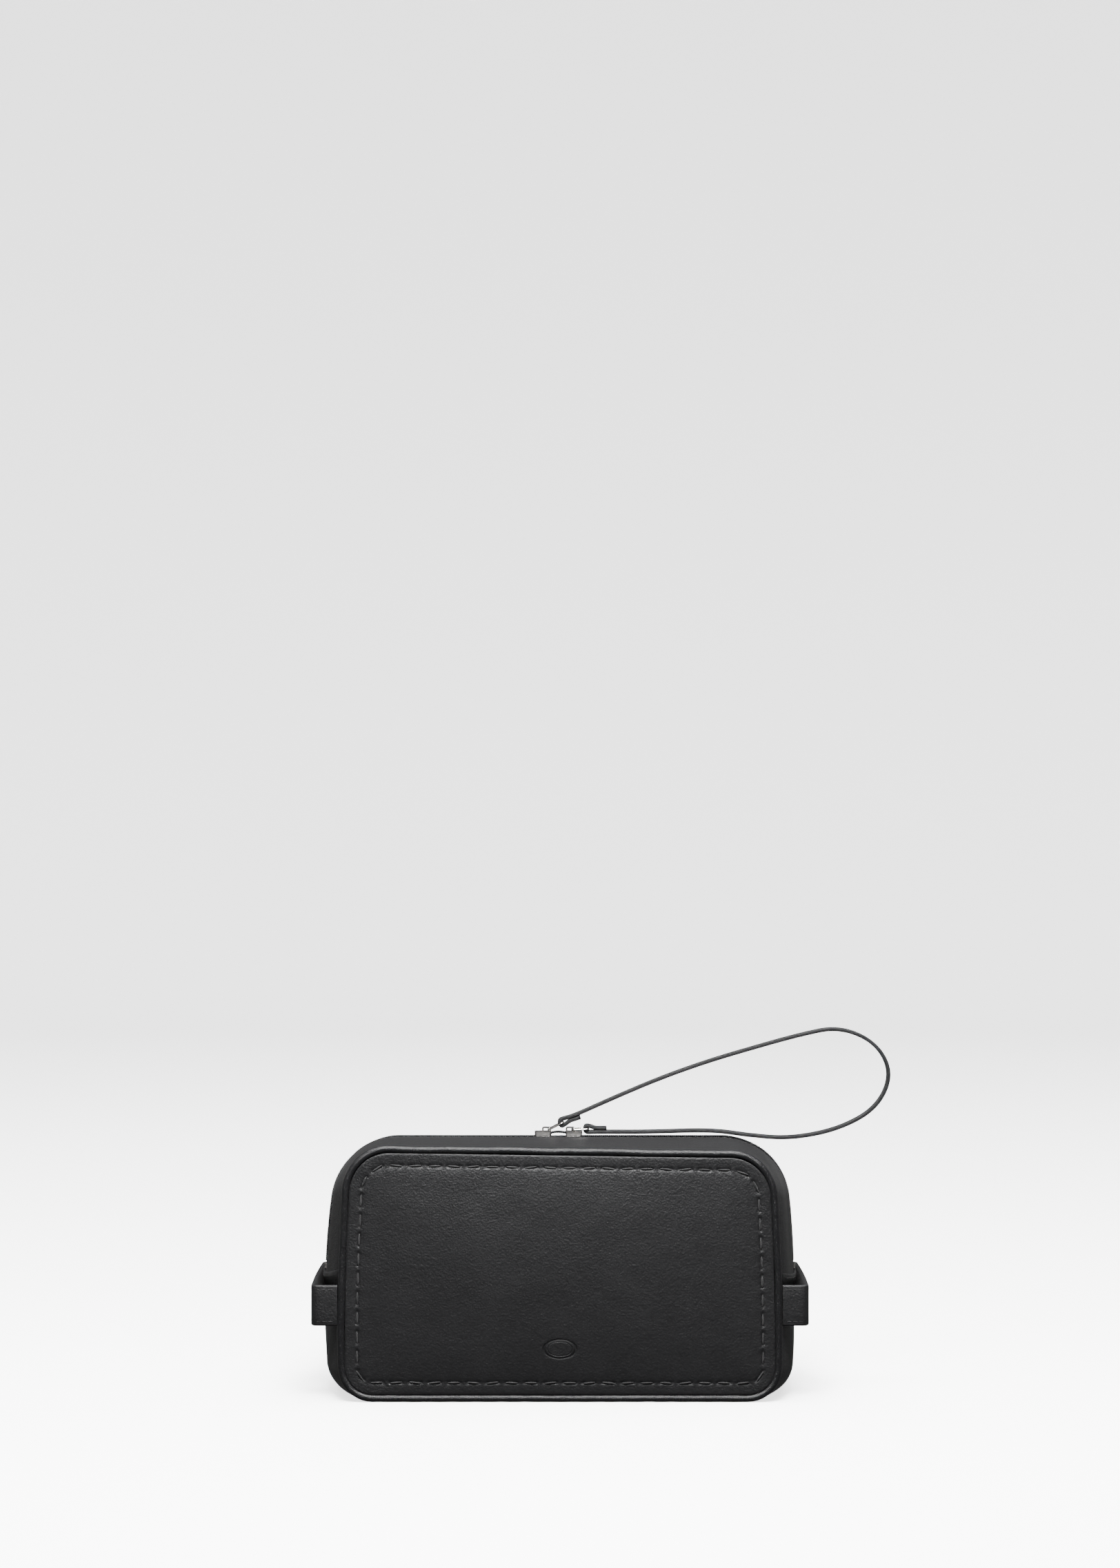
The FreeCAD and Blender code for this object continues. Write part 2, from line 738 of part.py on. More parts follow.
def bend_radii(route):
    """One radius for each inner point: a tight one at the folds, elsewhere the largest that fits."""
    radii = []
    for place in range(1, len(route) - 1):
        into = route[place] - route[place - 1]
        out = route[place + 1] - route[place]
        largest = 0.45 * min(into.Length, out.Length) / math.tan(into.getAngle(out) / 2)
        folded = place in (2, 3) or place in (len(route) - 4, len(route) - 3)
        radii.append(size("strap_fold_corner") if folded else largest)
    return radii


def ribbon_edges(route, radii, half):
    """The edge of a ribbon at a signed distance from its middle line, its ends and its length."""
    edges = []
    length = 0
    last = route[0]
    way = (route[1] - route[0]).normalize()
    first = edge_last = last + Vector(-way.z, 0, way.x) * half
    for previous, corner, following, radius in zip(route, route[1:], route[2:], radii):
        into = (corner - previous).normalize()
        out = (following - corner).normalize()
        turn = into.getAngle(out)
        side = 1 if into.x * out.z - into.z * out.x > 0 else -1
        into_normal = Vector(-into.z, 0, into.x)
        out_normal = Vector(-out.z, 0, out.x)
        mid_normal = (into_normal + out_normal).normalize()
        enter = corner - into * (radius * math.tan(turn / 2))
        leave = corner + out * (radius * math.tan(turn / 2))
        centre = enter + into_normal * (side * radius)
        middle = centre - mid_normal * (side * radius)
        edge_enter = enter + into_normal * half
        edge_leave = leave + out_normal * half
        edges.append(Part.makeLine(edge_last, edge_enter))
        edges.append(Part.Arc(edge_enter, middle + mid_normal * half, edge_leave).toShape())
        length += (enter - last).Length + radius * turn
        last, edge_last, final_normal = leave, edge_leave, out_normal
    end = route[-1] + final_normal * half
    edges.append(Part.makeLine(edge_last, end))
    length += (route[-1] - last).Length
    return edges, first, end, length


def build_strap():
    """The thin flat strap, thickened from the outline of its edge."""
    route = strap_route()
    radii = bend_radii(route)
    half = size("strap_thick") / 2
    upper, upper_start, upper_end, length = ribbon_edges(route, radii, half)
    lower, lower_start, lower_end, length = ribbon_edges(route, radii, -half)
    ends = [Part.makeLine(upper_start, lower_start), Part.makeLine(upper_end, lower_end)]
    edge = Part.Wire(Part.__sortEdges__(upper + lower + ends))
    face = Part.Face(edge)
    face.translate(Vector(0, -size("strap_wide") / 2, 0))
    solid = face.extrude(Vector(0, size("strap_wide"), 0))
    strap = doc.addObject("Part::Feature", "strap")
    strap.Shape = solid
    strap.Placement = Placement()
    keep(strap, "wrist_strap")
    print("strap length", round(length, 1), "bend radii", [round(r, 1) for r in radii])
    expected = length * size("strap_wide") * size("strap_thick")
    print("strap volume", round(solid.Volume, 1), "expected", round(expected, 1))


# ---- Build and write ----


def build():
    """Make every sub-part."""
    for side, turn in (("front", FRONT), ("back", BACK)):
        build_panel(side, turn)
        inner = "piping_radius + panel_gap + leather + panel_gap"
        build_slab(f"{side}_foam", turn, inner, "panel_depth + panel_gap", "foam")
        behind = "panel_depth - ply_gap - lining"
        build_slab(f"{side}_lining", turn, "piping_radius + ply_gap", behind, "lining")
        build_piping(side, turn)
    build_gusset()
    build_lining_and_tapes()
    build_coils()
    build_stops()
    half_long, half_wide = "board_long / 2", "board_wide / 2"
    board = block(
        "board",
        (f"0 - {half_long}", half_long),
        (f"0 - {half_wide}", half_wide),
        ("leather + ply_gap / 2", "leather + ply_gap / 2 + board"),
    )
    keep(board, "base_board")
    build_handle("right", FRONT)
    build_handle("left", BACK)
    for side, turn in (("left", 0), ("right", 180)):
        seat = Vector(size(f"slider_{side}_x"), 0, size("slider_foot"))
        place = Placement(seat, Rotation(Vector(0, 0, 1), turn))
        build_slider(side, place)
        build_bail(side, place)
        build_link(side)
    build_strap()


def check():
    """Stop on any failed object and on any sub-part without a valid solid."""
    for item in doc.Objects:
        bad = [word for word in item.State if word in ("Invalid", "Error")]
        assert not bad, f"{item.Name}: {item.State}"
    for item in nodes:
        shape = item.Shape
        assert not shape.isNull() and shape.isValid() and shape.Solids, item.Label
        print(f"{item.Label:22s} solids {len(shape.Solids)} volume {shape.Volume:10.1f}")


def write():
    """Write each sub-part to its own file."""
    os.makedirs("parts", exist_ok=True)
    for item in nodes:
        item.Shape.exportStep(f"parts/{item.Label}.step")


build()
doc.recompute()
check()
write()
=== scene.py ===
import math

import bmesh
import bpy
import numpy as np
from mathutils import Matrix, Vector, noise


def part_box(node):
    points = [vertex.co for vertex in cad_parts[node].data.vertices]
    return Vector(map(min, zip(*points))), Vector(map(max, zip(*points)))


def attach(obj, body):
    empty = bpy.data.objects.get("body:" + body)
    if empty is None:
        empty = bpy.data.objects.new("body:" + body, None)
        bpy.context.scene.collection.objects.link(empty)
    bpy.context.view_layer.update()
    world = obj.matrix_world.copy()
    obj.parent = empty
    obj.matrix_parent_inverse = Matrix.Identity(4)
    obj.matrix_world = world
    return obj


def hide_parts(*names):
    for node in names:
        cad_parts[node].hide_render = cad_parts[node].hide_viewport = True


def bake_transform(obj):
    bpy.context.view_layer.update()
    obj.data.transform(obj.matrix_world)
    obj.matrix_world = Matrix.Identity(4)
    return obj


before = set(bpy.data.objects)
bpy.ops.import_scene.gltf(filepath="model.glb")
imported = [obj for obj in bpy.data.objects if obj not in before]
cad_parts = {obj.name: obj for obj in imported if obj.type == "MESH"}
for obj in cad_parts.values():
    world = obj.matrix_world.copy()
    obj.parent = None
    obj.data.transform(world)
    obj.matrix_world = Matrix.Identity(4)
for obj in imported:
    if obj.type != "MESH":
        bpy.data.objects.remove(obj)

bl_info = {
    "name": "Leather Makeup Bag",
    "version": (1, 0, 0),
    "blender": (4, 5, 0),
    "location": "View3D > Sidebar > Makeup Bag",
    "description": "Makes the soft pieces, finishes and stage of a zipped leather makeup bag",
    "category": "Object",
}

MM = 0.001
ROOT = "bag"
OUT_OF_FRONT = Vector((0, -1, 0))
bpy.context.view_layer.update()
PIPING_LOW, PIPING_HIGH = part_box("front_piping")
BASE_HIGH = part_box("base_gusset")[1]
LIP_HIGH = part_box("mouth_flap_front")[1]
HANDLE_LOW, HANDLE_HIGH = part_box("side_handle_right")
SLIDERS = [sum(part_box(f"slider_{side}_body"), Vector()) / 2 for side in ("left", "right")]


# ---- Sizes and colours that a user would change ----


def length(name, default, description):
    """A length in metres."""
    return bpy.props.FloatProperty(
        name=name, default=default, description=description, subtype="DISTANCE", unit="LENGTH"
    )


def colour(name, default, description):
    """A surface colour."""
    return bpy.props.FloatVectorProperty(
        name=name, default=default, description=description, subtype="COLOR", size=3, min=0, max=1
    )


class BagSizes(bpy.types.PropertyGroup):
    """Sizes of the bag's soft pieces."""

    piping_radius: length("Piping radius", (PIPING_HIGH.y - PIPING_LOW.y) / 2, "Half the piping's thickness")
    leather: length("Leather", 1.4 * MM, "Thickness of the gusset's leather")
    stitch_line: length("Hand stitch line", 8.6 * MM, "From the seam to the row of hand stitches")
    stitch_pitch: length("Hand stitch pitch", 10.35 * MM, "From one hand stitch to the next")
    stitch_long: length("Hand stitch length", 6.6 * MM, "Length of thread that shows")
    thread: length("Hand thread", 1.0 * MM, "Thickness of the hand-sewn thread")
    puff: length("Panel puff", 0.6 * MM, "How far the padding swells inside the stitches")
    dome: length("Panel dome", 2.4 * MM, "How far the whole panel bows out in its middle")
    machine_pitch: length("Machine stitch pitch", 3.1 * MM, "From one machine stitch to the next")
    coil_pitch: length("Coil pitch", 1.12 * MM, "From one turn of the zip's coil to the next")
    strap_wide: length("Strap width", 6 * MM, "Width of the wrist strap")
    strap_thick: length("Strap thickness", 2 * MM, "Thickness of the wrist strap")


class BagColours(bpy.types.PropertyGroup):
    """Colours of the bag's finishes."""

    leather: colour("Leather", (0.0085, 0.0085, 0.0092), "Black grained leather")
    thread: colour("Thread", (0.009, 0.009, 0.0095), "Black waxed thread")
    coil: colour("Coil", (0.006, 0.006, 0.0065), "Black nylon")
    cloth: colour("Lining", (0.055, 0.055, 0.060), "Charcoal lining cloth")
    nickel: colour("Nickel", (0.72, 0.70, 0.67), "Polished nickel")
    floor: colour("Floor", (0.86, 0.86, 0.86), "Pale floor and backdrop")


# ---- The bag's shape ----


class Section:
    """An outline with a flat base and top, bowed sides and round corners. All in metres."""

    def __init__(self, half, crest, side, base, top, base_corner, top_corner):
        self.half, self.crest, self.side = half, crest, side
        self.base, self.top = base, top
        self.base_corner, self.top_corner = base_corner, top_corner
        self.centre = half - side
        low_rise = base + base_corner - crest
        high_rise = top - top_corner - crest
        self.low_x = self.centre + math.sqrt((side - base_corner) ** 2 - low_rise**2)
        self.high_x = self.centre + math.sqrt((side - top_corner) ** 2 - high_rise**2)
        self.low_turn = math.atan2(low_rise, self.low_x - self.centre)
        self.high_turn = math.atan2(high_rise, self.high_x - self.centre)
        self.lengths = np.array([
            self.low_x,
            base_corner * (math.pi / 2 + self.low_turn),
            side * (self.high_turn - self.low_turn),
            top_corner * (math.pi / 2 - self.high_turn),
            self.high_x,
        ])
        self.marks = np.concatenate([[0], np.cumsum(self.lengths)])

    def inset(self, distance):
        """The same outline moved inwards."""
        return Section(
            self.half - distance, self.crest, self.side - distance, self.base + distance,
            self.top - distance, self.base_corner - distance, self.top_corner - distance,
        )

    def at(self, stretch, share):
        """Places and outward directions, given each one's stretch (0 to 4) and share along it."""
        quarter = math.pi / 2
        low_z, high_z = self.base + self.base_corner, self.top - self.top_corner
        turns = (
            None,
            -quarter + share * (quarter + self.low_turn),
            self.low_turn + share * (self.high_turn - self.low_turn),
            self.high_turn + share * (quarter - self.high_turn),
            None,
        )
        centres = (
            None,
            (self.low_x, low_z, self.base_corner),
            (self.centre, self.crest, self.side),
            (self.high_x, high_z, self.top_corner),
            None,
        )
        x = np.where(stretch == 0, share * self.low_x, (1 - share) * self.high_x)
        z = np.where(stretch == 0, self.base, self.top)
        out_x = np.zeros_like(x)
        out_z = np.where(stretch == 0, -1.0, 1.0)
        for number in (1, 2, 3):
            here = stretch == number
            cx, cz, radius = centres[number]
            x = np.where(here, cx + radius * np.cos(turns[number]), x)
            z = np.where(here, cz + radius * np.sin(turns[number]), z)
            out_x = np.where(here, np.cos(turns[number]), out_x)
            out_z = np.where(here, np.sin(turns[number]), out_z)
        return x, z, out_x, out_z

    def split(self, distance):
        """Stretch and share of each distance from mid-base, up one half of the outline."""
        distance = np.clip(distance, 0, self.marks[-1])
        stretch = np.clip(np.searchsorted(self.marks, distance, side="right") - 1, 0, 4)
        return stretch, (distance - self.marks[stretch]) / self.lengths[stretch]

    def walk(self, distance):
        """Places and outward directions all the way round, from mid-base towards +X."""
        total = self.marks[-1]
        distance = np.mod(distance, 2 * total)
        left = distance > total
        x, z, out_x, out_z = self.at(*self.split(np.where(left, 2 * total - distance, distance)))
        return np.where(left, -x, x), z, np.where(left, -out_x, out_x), out_z


SEAM = Section(
    PIPING_HIGH.x - 2 * MM, 30 * MM, 1.4, PIPING_LOW.z + 2 * MM, PIPING_HIGH.z - 2 * MM, 17 * MM, 24 * MM
)
SEAM_DEPTH = -(PIPING_LOW.y + PIPING_HIGH.y) / 2
EDGE = Section(SEAM.half + 1.2 * MM, SEAM.crest, SEAM.side, 0, SEAM.top + 1.2 * MM, 18.2 * MM, 25.2 * MM)
MIDDLE = Section(BASE_HIGH.x, 47 * MM, 0.48, 0, LIP_HIGH.z, 16 * MM, 38 * MM)
EDGE_DEPTH = 47.9 * MM
HALF_LOOP = MIDDLE.marks[-1]
HANDLE_LEVEL = BASE_HIGH.z
LAP = float(np.interp(HANDLE_LEVEL, MIDDLE.walk(np.linspace(0, HALF_LOOP, 4000))[1][400:3400],
                      np.linspace(0, HALF_LOOP, 4000)[400:3400]))


PANEL_BACK = SEAM_DEPTH - 1.55 * MM  # each panel's inner side, from the middle plane
PANEL_WALL = 0.6 * MM  # depth of a panel's edge
PARTED = 60 * MM  # the coils can stand apart up to here
ZIP_ROW = 2.3 * MM  # from a zip strip's edge to its row of stitches
HANDLE_ROW = 2.4 * MM  # from a handle's edge to its row of stitches
MARK_WIDE, MARK_HIGH, MARK_LEVEL = 9.4 * MM, 5.6 * MM, 29 * MM  # the oval's half sizes and height
FACING = {"front": 1, "back": -1}  # 1 where a piece faces -Y


def ease(share):
    """A share from 0 to 1, made to start and end gently."""
    return share * share * (3 - 2 * share)


def from_top(tops):
    """Ways round the gusset, given how far each place is from the top's middle."""
    return np.where(tops >= 0, HALF_LOOP - tops, -HALF_LOOP - tops)


def creases(across, depth):
    """Soft folds and sag of the gusset's leather: how far it stands out at each place."""
    fade = np.clip(1 - (np.abs(depth) / EDGE_DEPTH) ** 4, 0, 1)
    side = np.clip((np.abs(across) - 150 * MM) / (25 * MM), 0, 1)
    top = np.clip((HALF_LOOP - 95 * MM - np.abs(across)) / (20 * MM), 0, 1)
    folds = (
        0.9 * np.sin(depth / (7.2 * MM) + across / (31 * MM) + 0.6)
        + 0.6 * np.sin(depth / (4.6 * MM) - across / (19 * MM) + 2.1)
    )
    by_zip = np.clip((np.abs(depth) - 7 * MM) / (14 * MM), 0, 1)
    sag = 0.35 * np.sin(across / (17 * MM)) * np.cos(depth / (21 * MM) + 0.5) * by_zip
    return (0.55 * folds * side * top + sag) * fade * MM


def lean(places):
    """Settle the soft bag: its front a little lower towards +X, and the top of its back sagging."""
    height = np.clip(places[..., 2] / SEAM.top, 0, None)
    forward = np.clip(-places[..., 1] / EDGE_DEPTH, 0, 1)
    backward = np.clip(places[..., 1] / EDGE_DEPTH, 0, 1)
    places[..., 2] -= 0.0144 * places[..., 0] * height * forward + 3.3 * MM * height**3 * backward
    return places


def on_gusset(across, depth, lift):
    """Places on the gusset: across is the way from mid-base, minus to the left; depth is along Y."""
    stretch, share = MIDDLE.split(np.abs(across))
    edge = EDGE.at(stretch, share)
    middle = MIDDLE.at(stretch, share)
    bulge = np.clip(1 - (depth / EDGE_DEPTH) ** 2, 0, 1)
    x, z, out_x, out_z = (e * (1 - bulge) + m * bulge for e, m in zip(edge, middle))
    size = np.hypot(out_x, out_z)
    above = np.clip(z / (6 * MM), 0, 1)
    lift = lift + creases(across, depth) * above
    x = (x + out_x / size * lift) * np.where(across < 0, -1, 1)
    z = z + out_z / size * lift
    return lean(np.stack([x, depth + 0 * x, z], axis=-1))


# ---- Making pieces ----


def deselect():
    """Nothing selected, in object mode."""
    if bpy.context.object and bpy.context.object.mode != "OBJECT":
        bpy.ops.object.mode_set(mode="OBJECT")
    bpy.ops.object.select_all(action="DESELECT")


def only(piece):
    """Only this piece selected and active."""
    deselect()
    piece.select_set(True)
    bpy.context.view_layer.objects.active = piece


def places_of(piece):
    """The piece's vertices as an array."""
    places = np.empty(len(piece.data.vertices) * 3)
    piece.data.vertices.foreach_get("co", places)
    return places.reshape(-1, 3)


def set_places(piece, places):
    """Move the piece's vertices to these places."""
    piece.data.vertices.foreach_set("co", np.asarray(places, float).ravel())
    piece.data.update()


def add_grid(name, columns, rows, shape):
    """A primitive grid laid on a surface: shape gives a place for each share across and up it."""
    deselect()
    bpy.ops.mesh.primitive_grid_add(x_subdivisions=columns, y_subdivisions=rows, size=1)
    piece = bpy.context.object
    piece.name = piece.data.name = name
    flat = places_of(piece)
    set_places(piece, shape(flat[:, 0] + 0.5, flat[:, 1] + 0.5))
    return piece


def apply(piece, kind, **settings):
    """Add one modifier and apply it."""
    only(piece)
    modifier = piece.modifiers.new(kind.title(), kind)
    for setting, value in settings.items():
        setattr(modifier, setting, value)
    bpy.ops.object.modifier_apply(modifier=modifier.name)


def edit(piece, *steps):
    """Run edit-mode steps on the whole piece."""
    only(piece)
    bpy.ops.object.mode_set(mode="EDIT")
    bpy.ops.mesh.select_all(action="SELECT")
    for step in steps:
        step()
    bpy.ops.object.mode_set(mode="OBJECT")


def select_border():
    """Only the open edges of a sheet selected."""
    bpy.ops.mesh.select_all(action="DESELECT")
    bpy.ops.mesh.select_non_manifold()


def outwards():
    """Turn a closed shell's faces outwards."""
    bpy.ops.mesh.select_all(action="SELECT")
    bpy.ops.mesh.normals_make_consistent(inside=False)


def thicken(piece, thick, edge=0.0):
    """Give a sheet its thickness on its inner side, with softened edges."""
    apply(piece, "SOLIDIFY", thickness=thick, offset=-1, use_even_offset=False)
    if edge:
        apply(piece, "BEVEL", width=edge, segments=2, limit_method="ANGLE", angle_limit=math.radians(60))


def smooth(piece, angle=50):
    """Smooth shading, sharp only over an angle."""
    only(piece)
    bpy.ops.object.shade_smooth_by_angle(angle=math.radians(angle))


def finish_piece(piece, material, body=ROOT, stands_for=()):
    """Give a piece its material, the body it rides on and the CAD nodes it stands for."""
    piece.data.materials.clear()
    piece.data.materials.append(material)
    if body:
        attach(piece, body)
    if stands_for:
        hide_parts(*stands_for)
    return piece


def follow_lip(piece):
    """Bend a piece of the zip's side with its lip, most at the zip and in the mouth's middle."""
    places = places_of(piece)
    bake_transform(piece)


def stamp(name, template, frames):
    """One mesh of many copies of a small template, one at each frame."""
    shape = bmesh.new()
    for matrix in frames:
        copy = template.copy()
        copy.transform(matrix)
        shape.from_mesh(copy)
        bpy.data.meshes.remove(copy)
    mesh = bpy.data.meshes.new(name)
    shape.to_mesh(mesh)
    shape.free()
    piece = bpy.data.objects.new(name, mesh)
    bpy.context.collection.objects.link(piece)
    mesh.polygons.foreach_set("use_smooth", [True] * len(mesh.polygons))
    return piece


def capsule(name, long, wide, high, segments, rings, sink):
    """A short length of thread along X, highest in its middle, both ends sunk by sink."""
    deselect()
    bpy.ops.mesh.primitive_uv_sphere_add(segments=segments, ring_count=rings, radius=1)
    ball = bpy.context.object
    edit(ball, lambda: bpy.ops.transform.rotate(
        value=math.pi / 2, orient_axis="Y", center_override=(0, 0, 0)))
    places = places_of(ball)
    x = places[:, 0]
    places[:, 0] = np.sign(x) * np.abs(x) ** 0.8 * long / 2
    places[:, 1] *= wide / 2
    places[:, 2] = places[:, 2] * high / 2 - sink * x**2
    set_places(ball, places)
    mesh = ball.data.copy()
    mesh.name = name
    bpy.data.objects.remove(ball)
    return mesh


def basis(place, along, out):
    """The frame that sets a template at a place, its X along and its Z out."""
    along = Vector(along).normalized()
    out = Vector(out)
    out = (out - along * out.dot(along)).normalized()
    across = out.cross(along)
    matrix = Matrix((along, across, out)).transposed().to_4x4()
    return Matrix.Translation(Vector(place)) @ matrix


def route_points(name, points, order=3):
    """Points along a smooth NURBS line through the air, held by the given points."""
    line = bpy.data.curves.new(name, "CURVE")
    line.dimensions = "3D"
    spline = line.splines.new("NURBS")
    spline.points.add(len(points) - 1)
    for held, place in zip(spline.points, points):
        held.co = (*place, 1)
    spline.order_u = order
    spline.use_endpoint_u = True
    spline.resolution_u = 16
    thing = bpy.data.objects.new(name, line)
    mesh = bpy.data.meshes.new_from_object(thing)
    places = [vertex.co.copy() for vertex in mesh.vertices]
    bpy.data.objects.remove(thing)
    bpy.data.curves.remove(line)
    bpy.data.meshes.remove(mesh)
    return places


def evenly(points, count):
    """The same line as a given number of evenly spaced points."""
    places = np.array(points)
    steps = np.linalg.norm(np.diff(places, axis=0), axis=1)
    way = np.concatenate([[0], np.cumsum(steps)])
    wanted = np.linspace(0, way[-1], count)
    return np.stack([np.interp(wanted, way, places[:, axis]) for axis in range(3)], axis=1)


def sweep_band(name, line, broad, wide, thick, round_by):
    """A flat band with rounded edges swept along a line. broad is the way its width points."""
    broad = np.array(broad, float)
    along = np.gradient(line, axis=0)
    along /= np.linalg.norm(along, axis=1)[:, None]
    normal = np.cross(broad, along)
    normal /= np.linalg.norm(normal, axis=1)[:, None]
    across = rounded_rectangle(wide, thick, round_by)
    rows = len(across) - 1

    def shape(u, v):
        step = np.rint(u * (len(line) - 1)).astype(int)
        around = across[np.rint(v * rows).astype(int)]
        return line[step] + around[:, :1] * broad + around[:, 1:] * normal[step]

    band = add_grid(name, len(line) - 1, rows, shape)
    edit(band, lambda: bpy.ops.mesh.remove_doubles(threshold=1e-6))
    edit(band, select_border, lambda: bpy.ops.mesh.fill_holes(sides=0), outwards)
    return band


def rounded_rectangle(wide, thick, radius, steps=4, flats=3):
    """A closed run of points round a rectangle with round corners, centred on the origin."""
    points = []
    x, y = wide / 2 - radius, thick / 2 - radius
    for corner, (sx, sy) in enumerate(((1, 1), (-1, 1), (-1, -1), (1, -1))):
        for step in range(steps + 1):
            turn = math.pi / 2 * (corner + step / steps)
            points.append((sx * x + radius * math.cos(turn), sy * y + radius * math.sin(turn)))
        if corner in (0, 2):
            for step in range(1, flats):
                points.append((sx * x * (1 - 2 * step / flats), sy * thick / 2))
    points.append(points[0])
    return np.array(points)


# ---- Materials ----


class Nodes:
    """A short way to build one material's nodes, on the piece's own coordinates."""

    def __init__(self, name):
        self.material = bpy.data.materials.new(name)
        self.material.use_nodes = True
        self.tree = self.material.node_tree
        self.shader = self.tree.nodes["Principled BSDF"]
        self.where = (self.add("TexCoord"), 3)

    def add(self, kind, **settings):
        """A node, with its properties and inputs set; a tuple (node, socket) links an input."""
        node = self.tree.nodes.new(f"ShaderNode{kind}")
        for key, value in settings.items():
            if key[0].isupper():
                self.put(node, key.replace("_", " "), value)
            else:
                setattr(node, key, value)
        return node

    def put(self, node, socket, value):
        """Set or link one input, given by name or number."""
        target = node.inputs[socket]
        if isinstance(value, tuple) and isinstance(value[0], bpy.types.Node):
            self.tree.links.new(value[0].outputs[value[1]], target)
        else:
            target.default_value = value

    def shade(self, **inputs):
        """Set or link the shader's inputs."""
        for key, value in inputs.items():
            self.put(self.shader, key.replace("_", " "), value)
        return self.material

    def noise(self, scale, detail, **settings):
        """Fractal noise."""
        return (self.add("TexNoise", Vector=self.where, Scale=scale, Detail=detail, **settings), 0)

    def math(self, operation, first, second=0.0):
        """One sum on two numbers or links."""
        node = self.add("Math", operation=operation)
        self.put(node, 0, first)
        self.put(node, 1, second)
        return (node, 0)

    def ramp(self, value, low, high, low_out=0.0, high_out=1.0):
        """A value taken from one range to another, held at the ends."""
        node = self.add("MapRange", From_Min=low, From_Max=high, To_Min=low_out, To_Max=high_out)
        self.put(node, 0, value)
        return (node, 0)

    def mix(self, share, first, second):
        """A colour between two colours."""
        node = self.add("Mix", data_type="RGBA")
        for socket, value in ((0, share), (6, first), (7, second)):
            self.put(node, socket, value)
        return (node, 2)

    def bump(self, height, distance, strength=1.0, under=None):
        """A bump from a height, over another bump if one is given."""
        node = self.add("Bump", Strength=strength, Distance=distance, Height=height)
        if under:
            self.put(node, "Normal", under)
        return (node, 0)


def full(rgb, share=1.0):
    """A colour with alpha, made lighter or darker by share."""
    return (*(channel * share for channel in rgb), 1.0)


def make_leather(name, rgb, grain=0.95 * MM, roughness=0.42, mark=None):
    """Black leather: fine pebble grain, soft sheen, slight changes of tone and gloss."""
    nodes = Nodes(name)
    pebble = (nodes.add(
        "TexVoronoi", feature="SMOOTH_F1", Vector=nodes.where, Scale=1 / grain, Randomness=0.9), 0)
    fine = nodes.noise(2.4 / grain, 5.0, Roughness=0.62)
    patch = nodes.noise(38.0, 3.0, Roughness=0.55)
    crease = nodes.noise(160.0, 4.0, Roughness=0.6, Distortion=0.9)
    height = nodes.math("ADD", nodes.math("MULTIPLY", pebble, 1.1), fine)
    height = nodes.math("ADD", height, nodes.math("MULTIPLY", crease, 0.9))
    bump = nodes.bump(height, 0.16 * MM)
    if mark:
        bump = nodes.bump(mark(nodes), 0.5 * MM, 1.0, bump)
    # Painted shade: the colour darkens between the grain's pebbles, where the grain's valleys would be
    # shaded.
    valley_shade = nodes.math("MULTIPLY", nodes.ramp(pebble, 0.2, 0.75), 0.5)
    tone = nodes.mix(nodes.ramp(patch, 0.3, 0.7), full(rgb, 0.93), full(rgb, 1.08))
    gloss = nodes.ramp(fine, 0.3, 0.7, roughness - 0.05, roughness + 0.08)
    return nodes.shade(
        Base_Color=nodes.mix(valley_shade, tone, full(rgb, 0.5)),
        Roughness=nodes.math("ADD", gloss, nodes.ramp(patch, 0.3, 0.7, -0.01, 0.015)),
        Normal=bump, Specular_IOR_Level=0.38, Sheen_Weight=0.02, Sheen_Roughness=0.5,
    )


def oval_mark(nodes):
    """A plain oval ring pressed into the leather low in the panel's middle, as a height."""
    parts = nodes.add("SeparateXYZ", Vector=nodes.where)
    x = nodes.math("DIVIDE", (parts, 0), MARK_WIDE)
    z = nodes.math("DIVIDE", nodes.math("SUBTRACT", (parts, 2), MARK_LEVEL), MARK_HIGH)
    reach = nodes.math("SQRT", nodes.math("ADD", nodes.math("POWER", x, 2.0), nodes.math("POWER", z, 2.0)))
    outer = nodes.math("ABSOLUTE", nodes.math("SUBTRACT", reach, 0.92))
    inner = nodes.math("ABSOLUTE", nodes.math("SUBTRACT", reach, 0.7))
    return nodes.math("MULTIPLY", nodes.ramp(outer, 0.035, 0.085), nodes.ramp(inner, 0.01, 0.04, 0.45, 1.0))


def make_thread(name, rgb, twist):
    """Twisted waxed thread."""
    nodes = Nodes(name)
    strands = (nodes.add("TexWave", bands_direction="DIAGONAL", Vector=nodes.where, Scale=twist,
                         Distortion=1.5, Detail=1.0), 1)
    fuzz = nodes.noise(3500.0, 3.0)
    height = nodes.math("ADD", strands, nodes.math("MULTIPLY", fuzz, 0.5))
    # Painted shade and highlight: the colour follows the twist's height, darker in its grooves and lighter on
    # the strands.
    return nodes.shade(
        Base_Color=nodes.mix(strands, full(rgb, 0.6), full(rgb, 1.3)),
        Roughness=nodes.ramp(fuzz, 0.3, 0.7, 0.42, 0.6),
        Normal=nodes.bump(height, 0.09 * MM, 0.8), Sheen_Weight=0.15,
    )


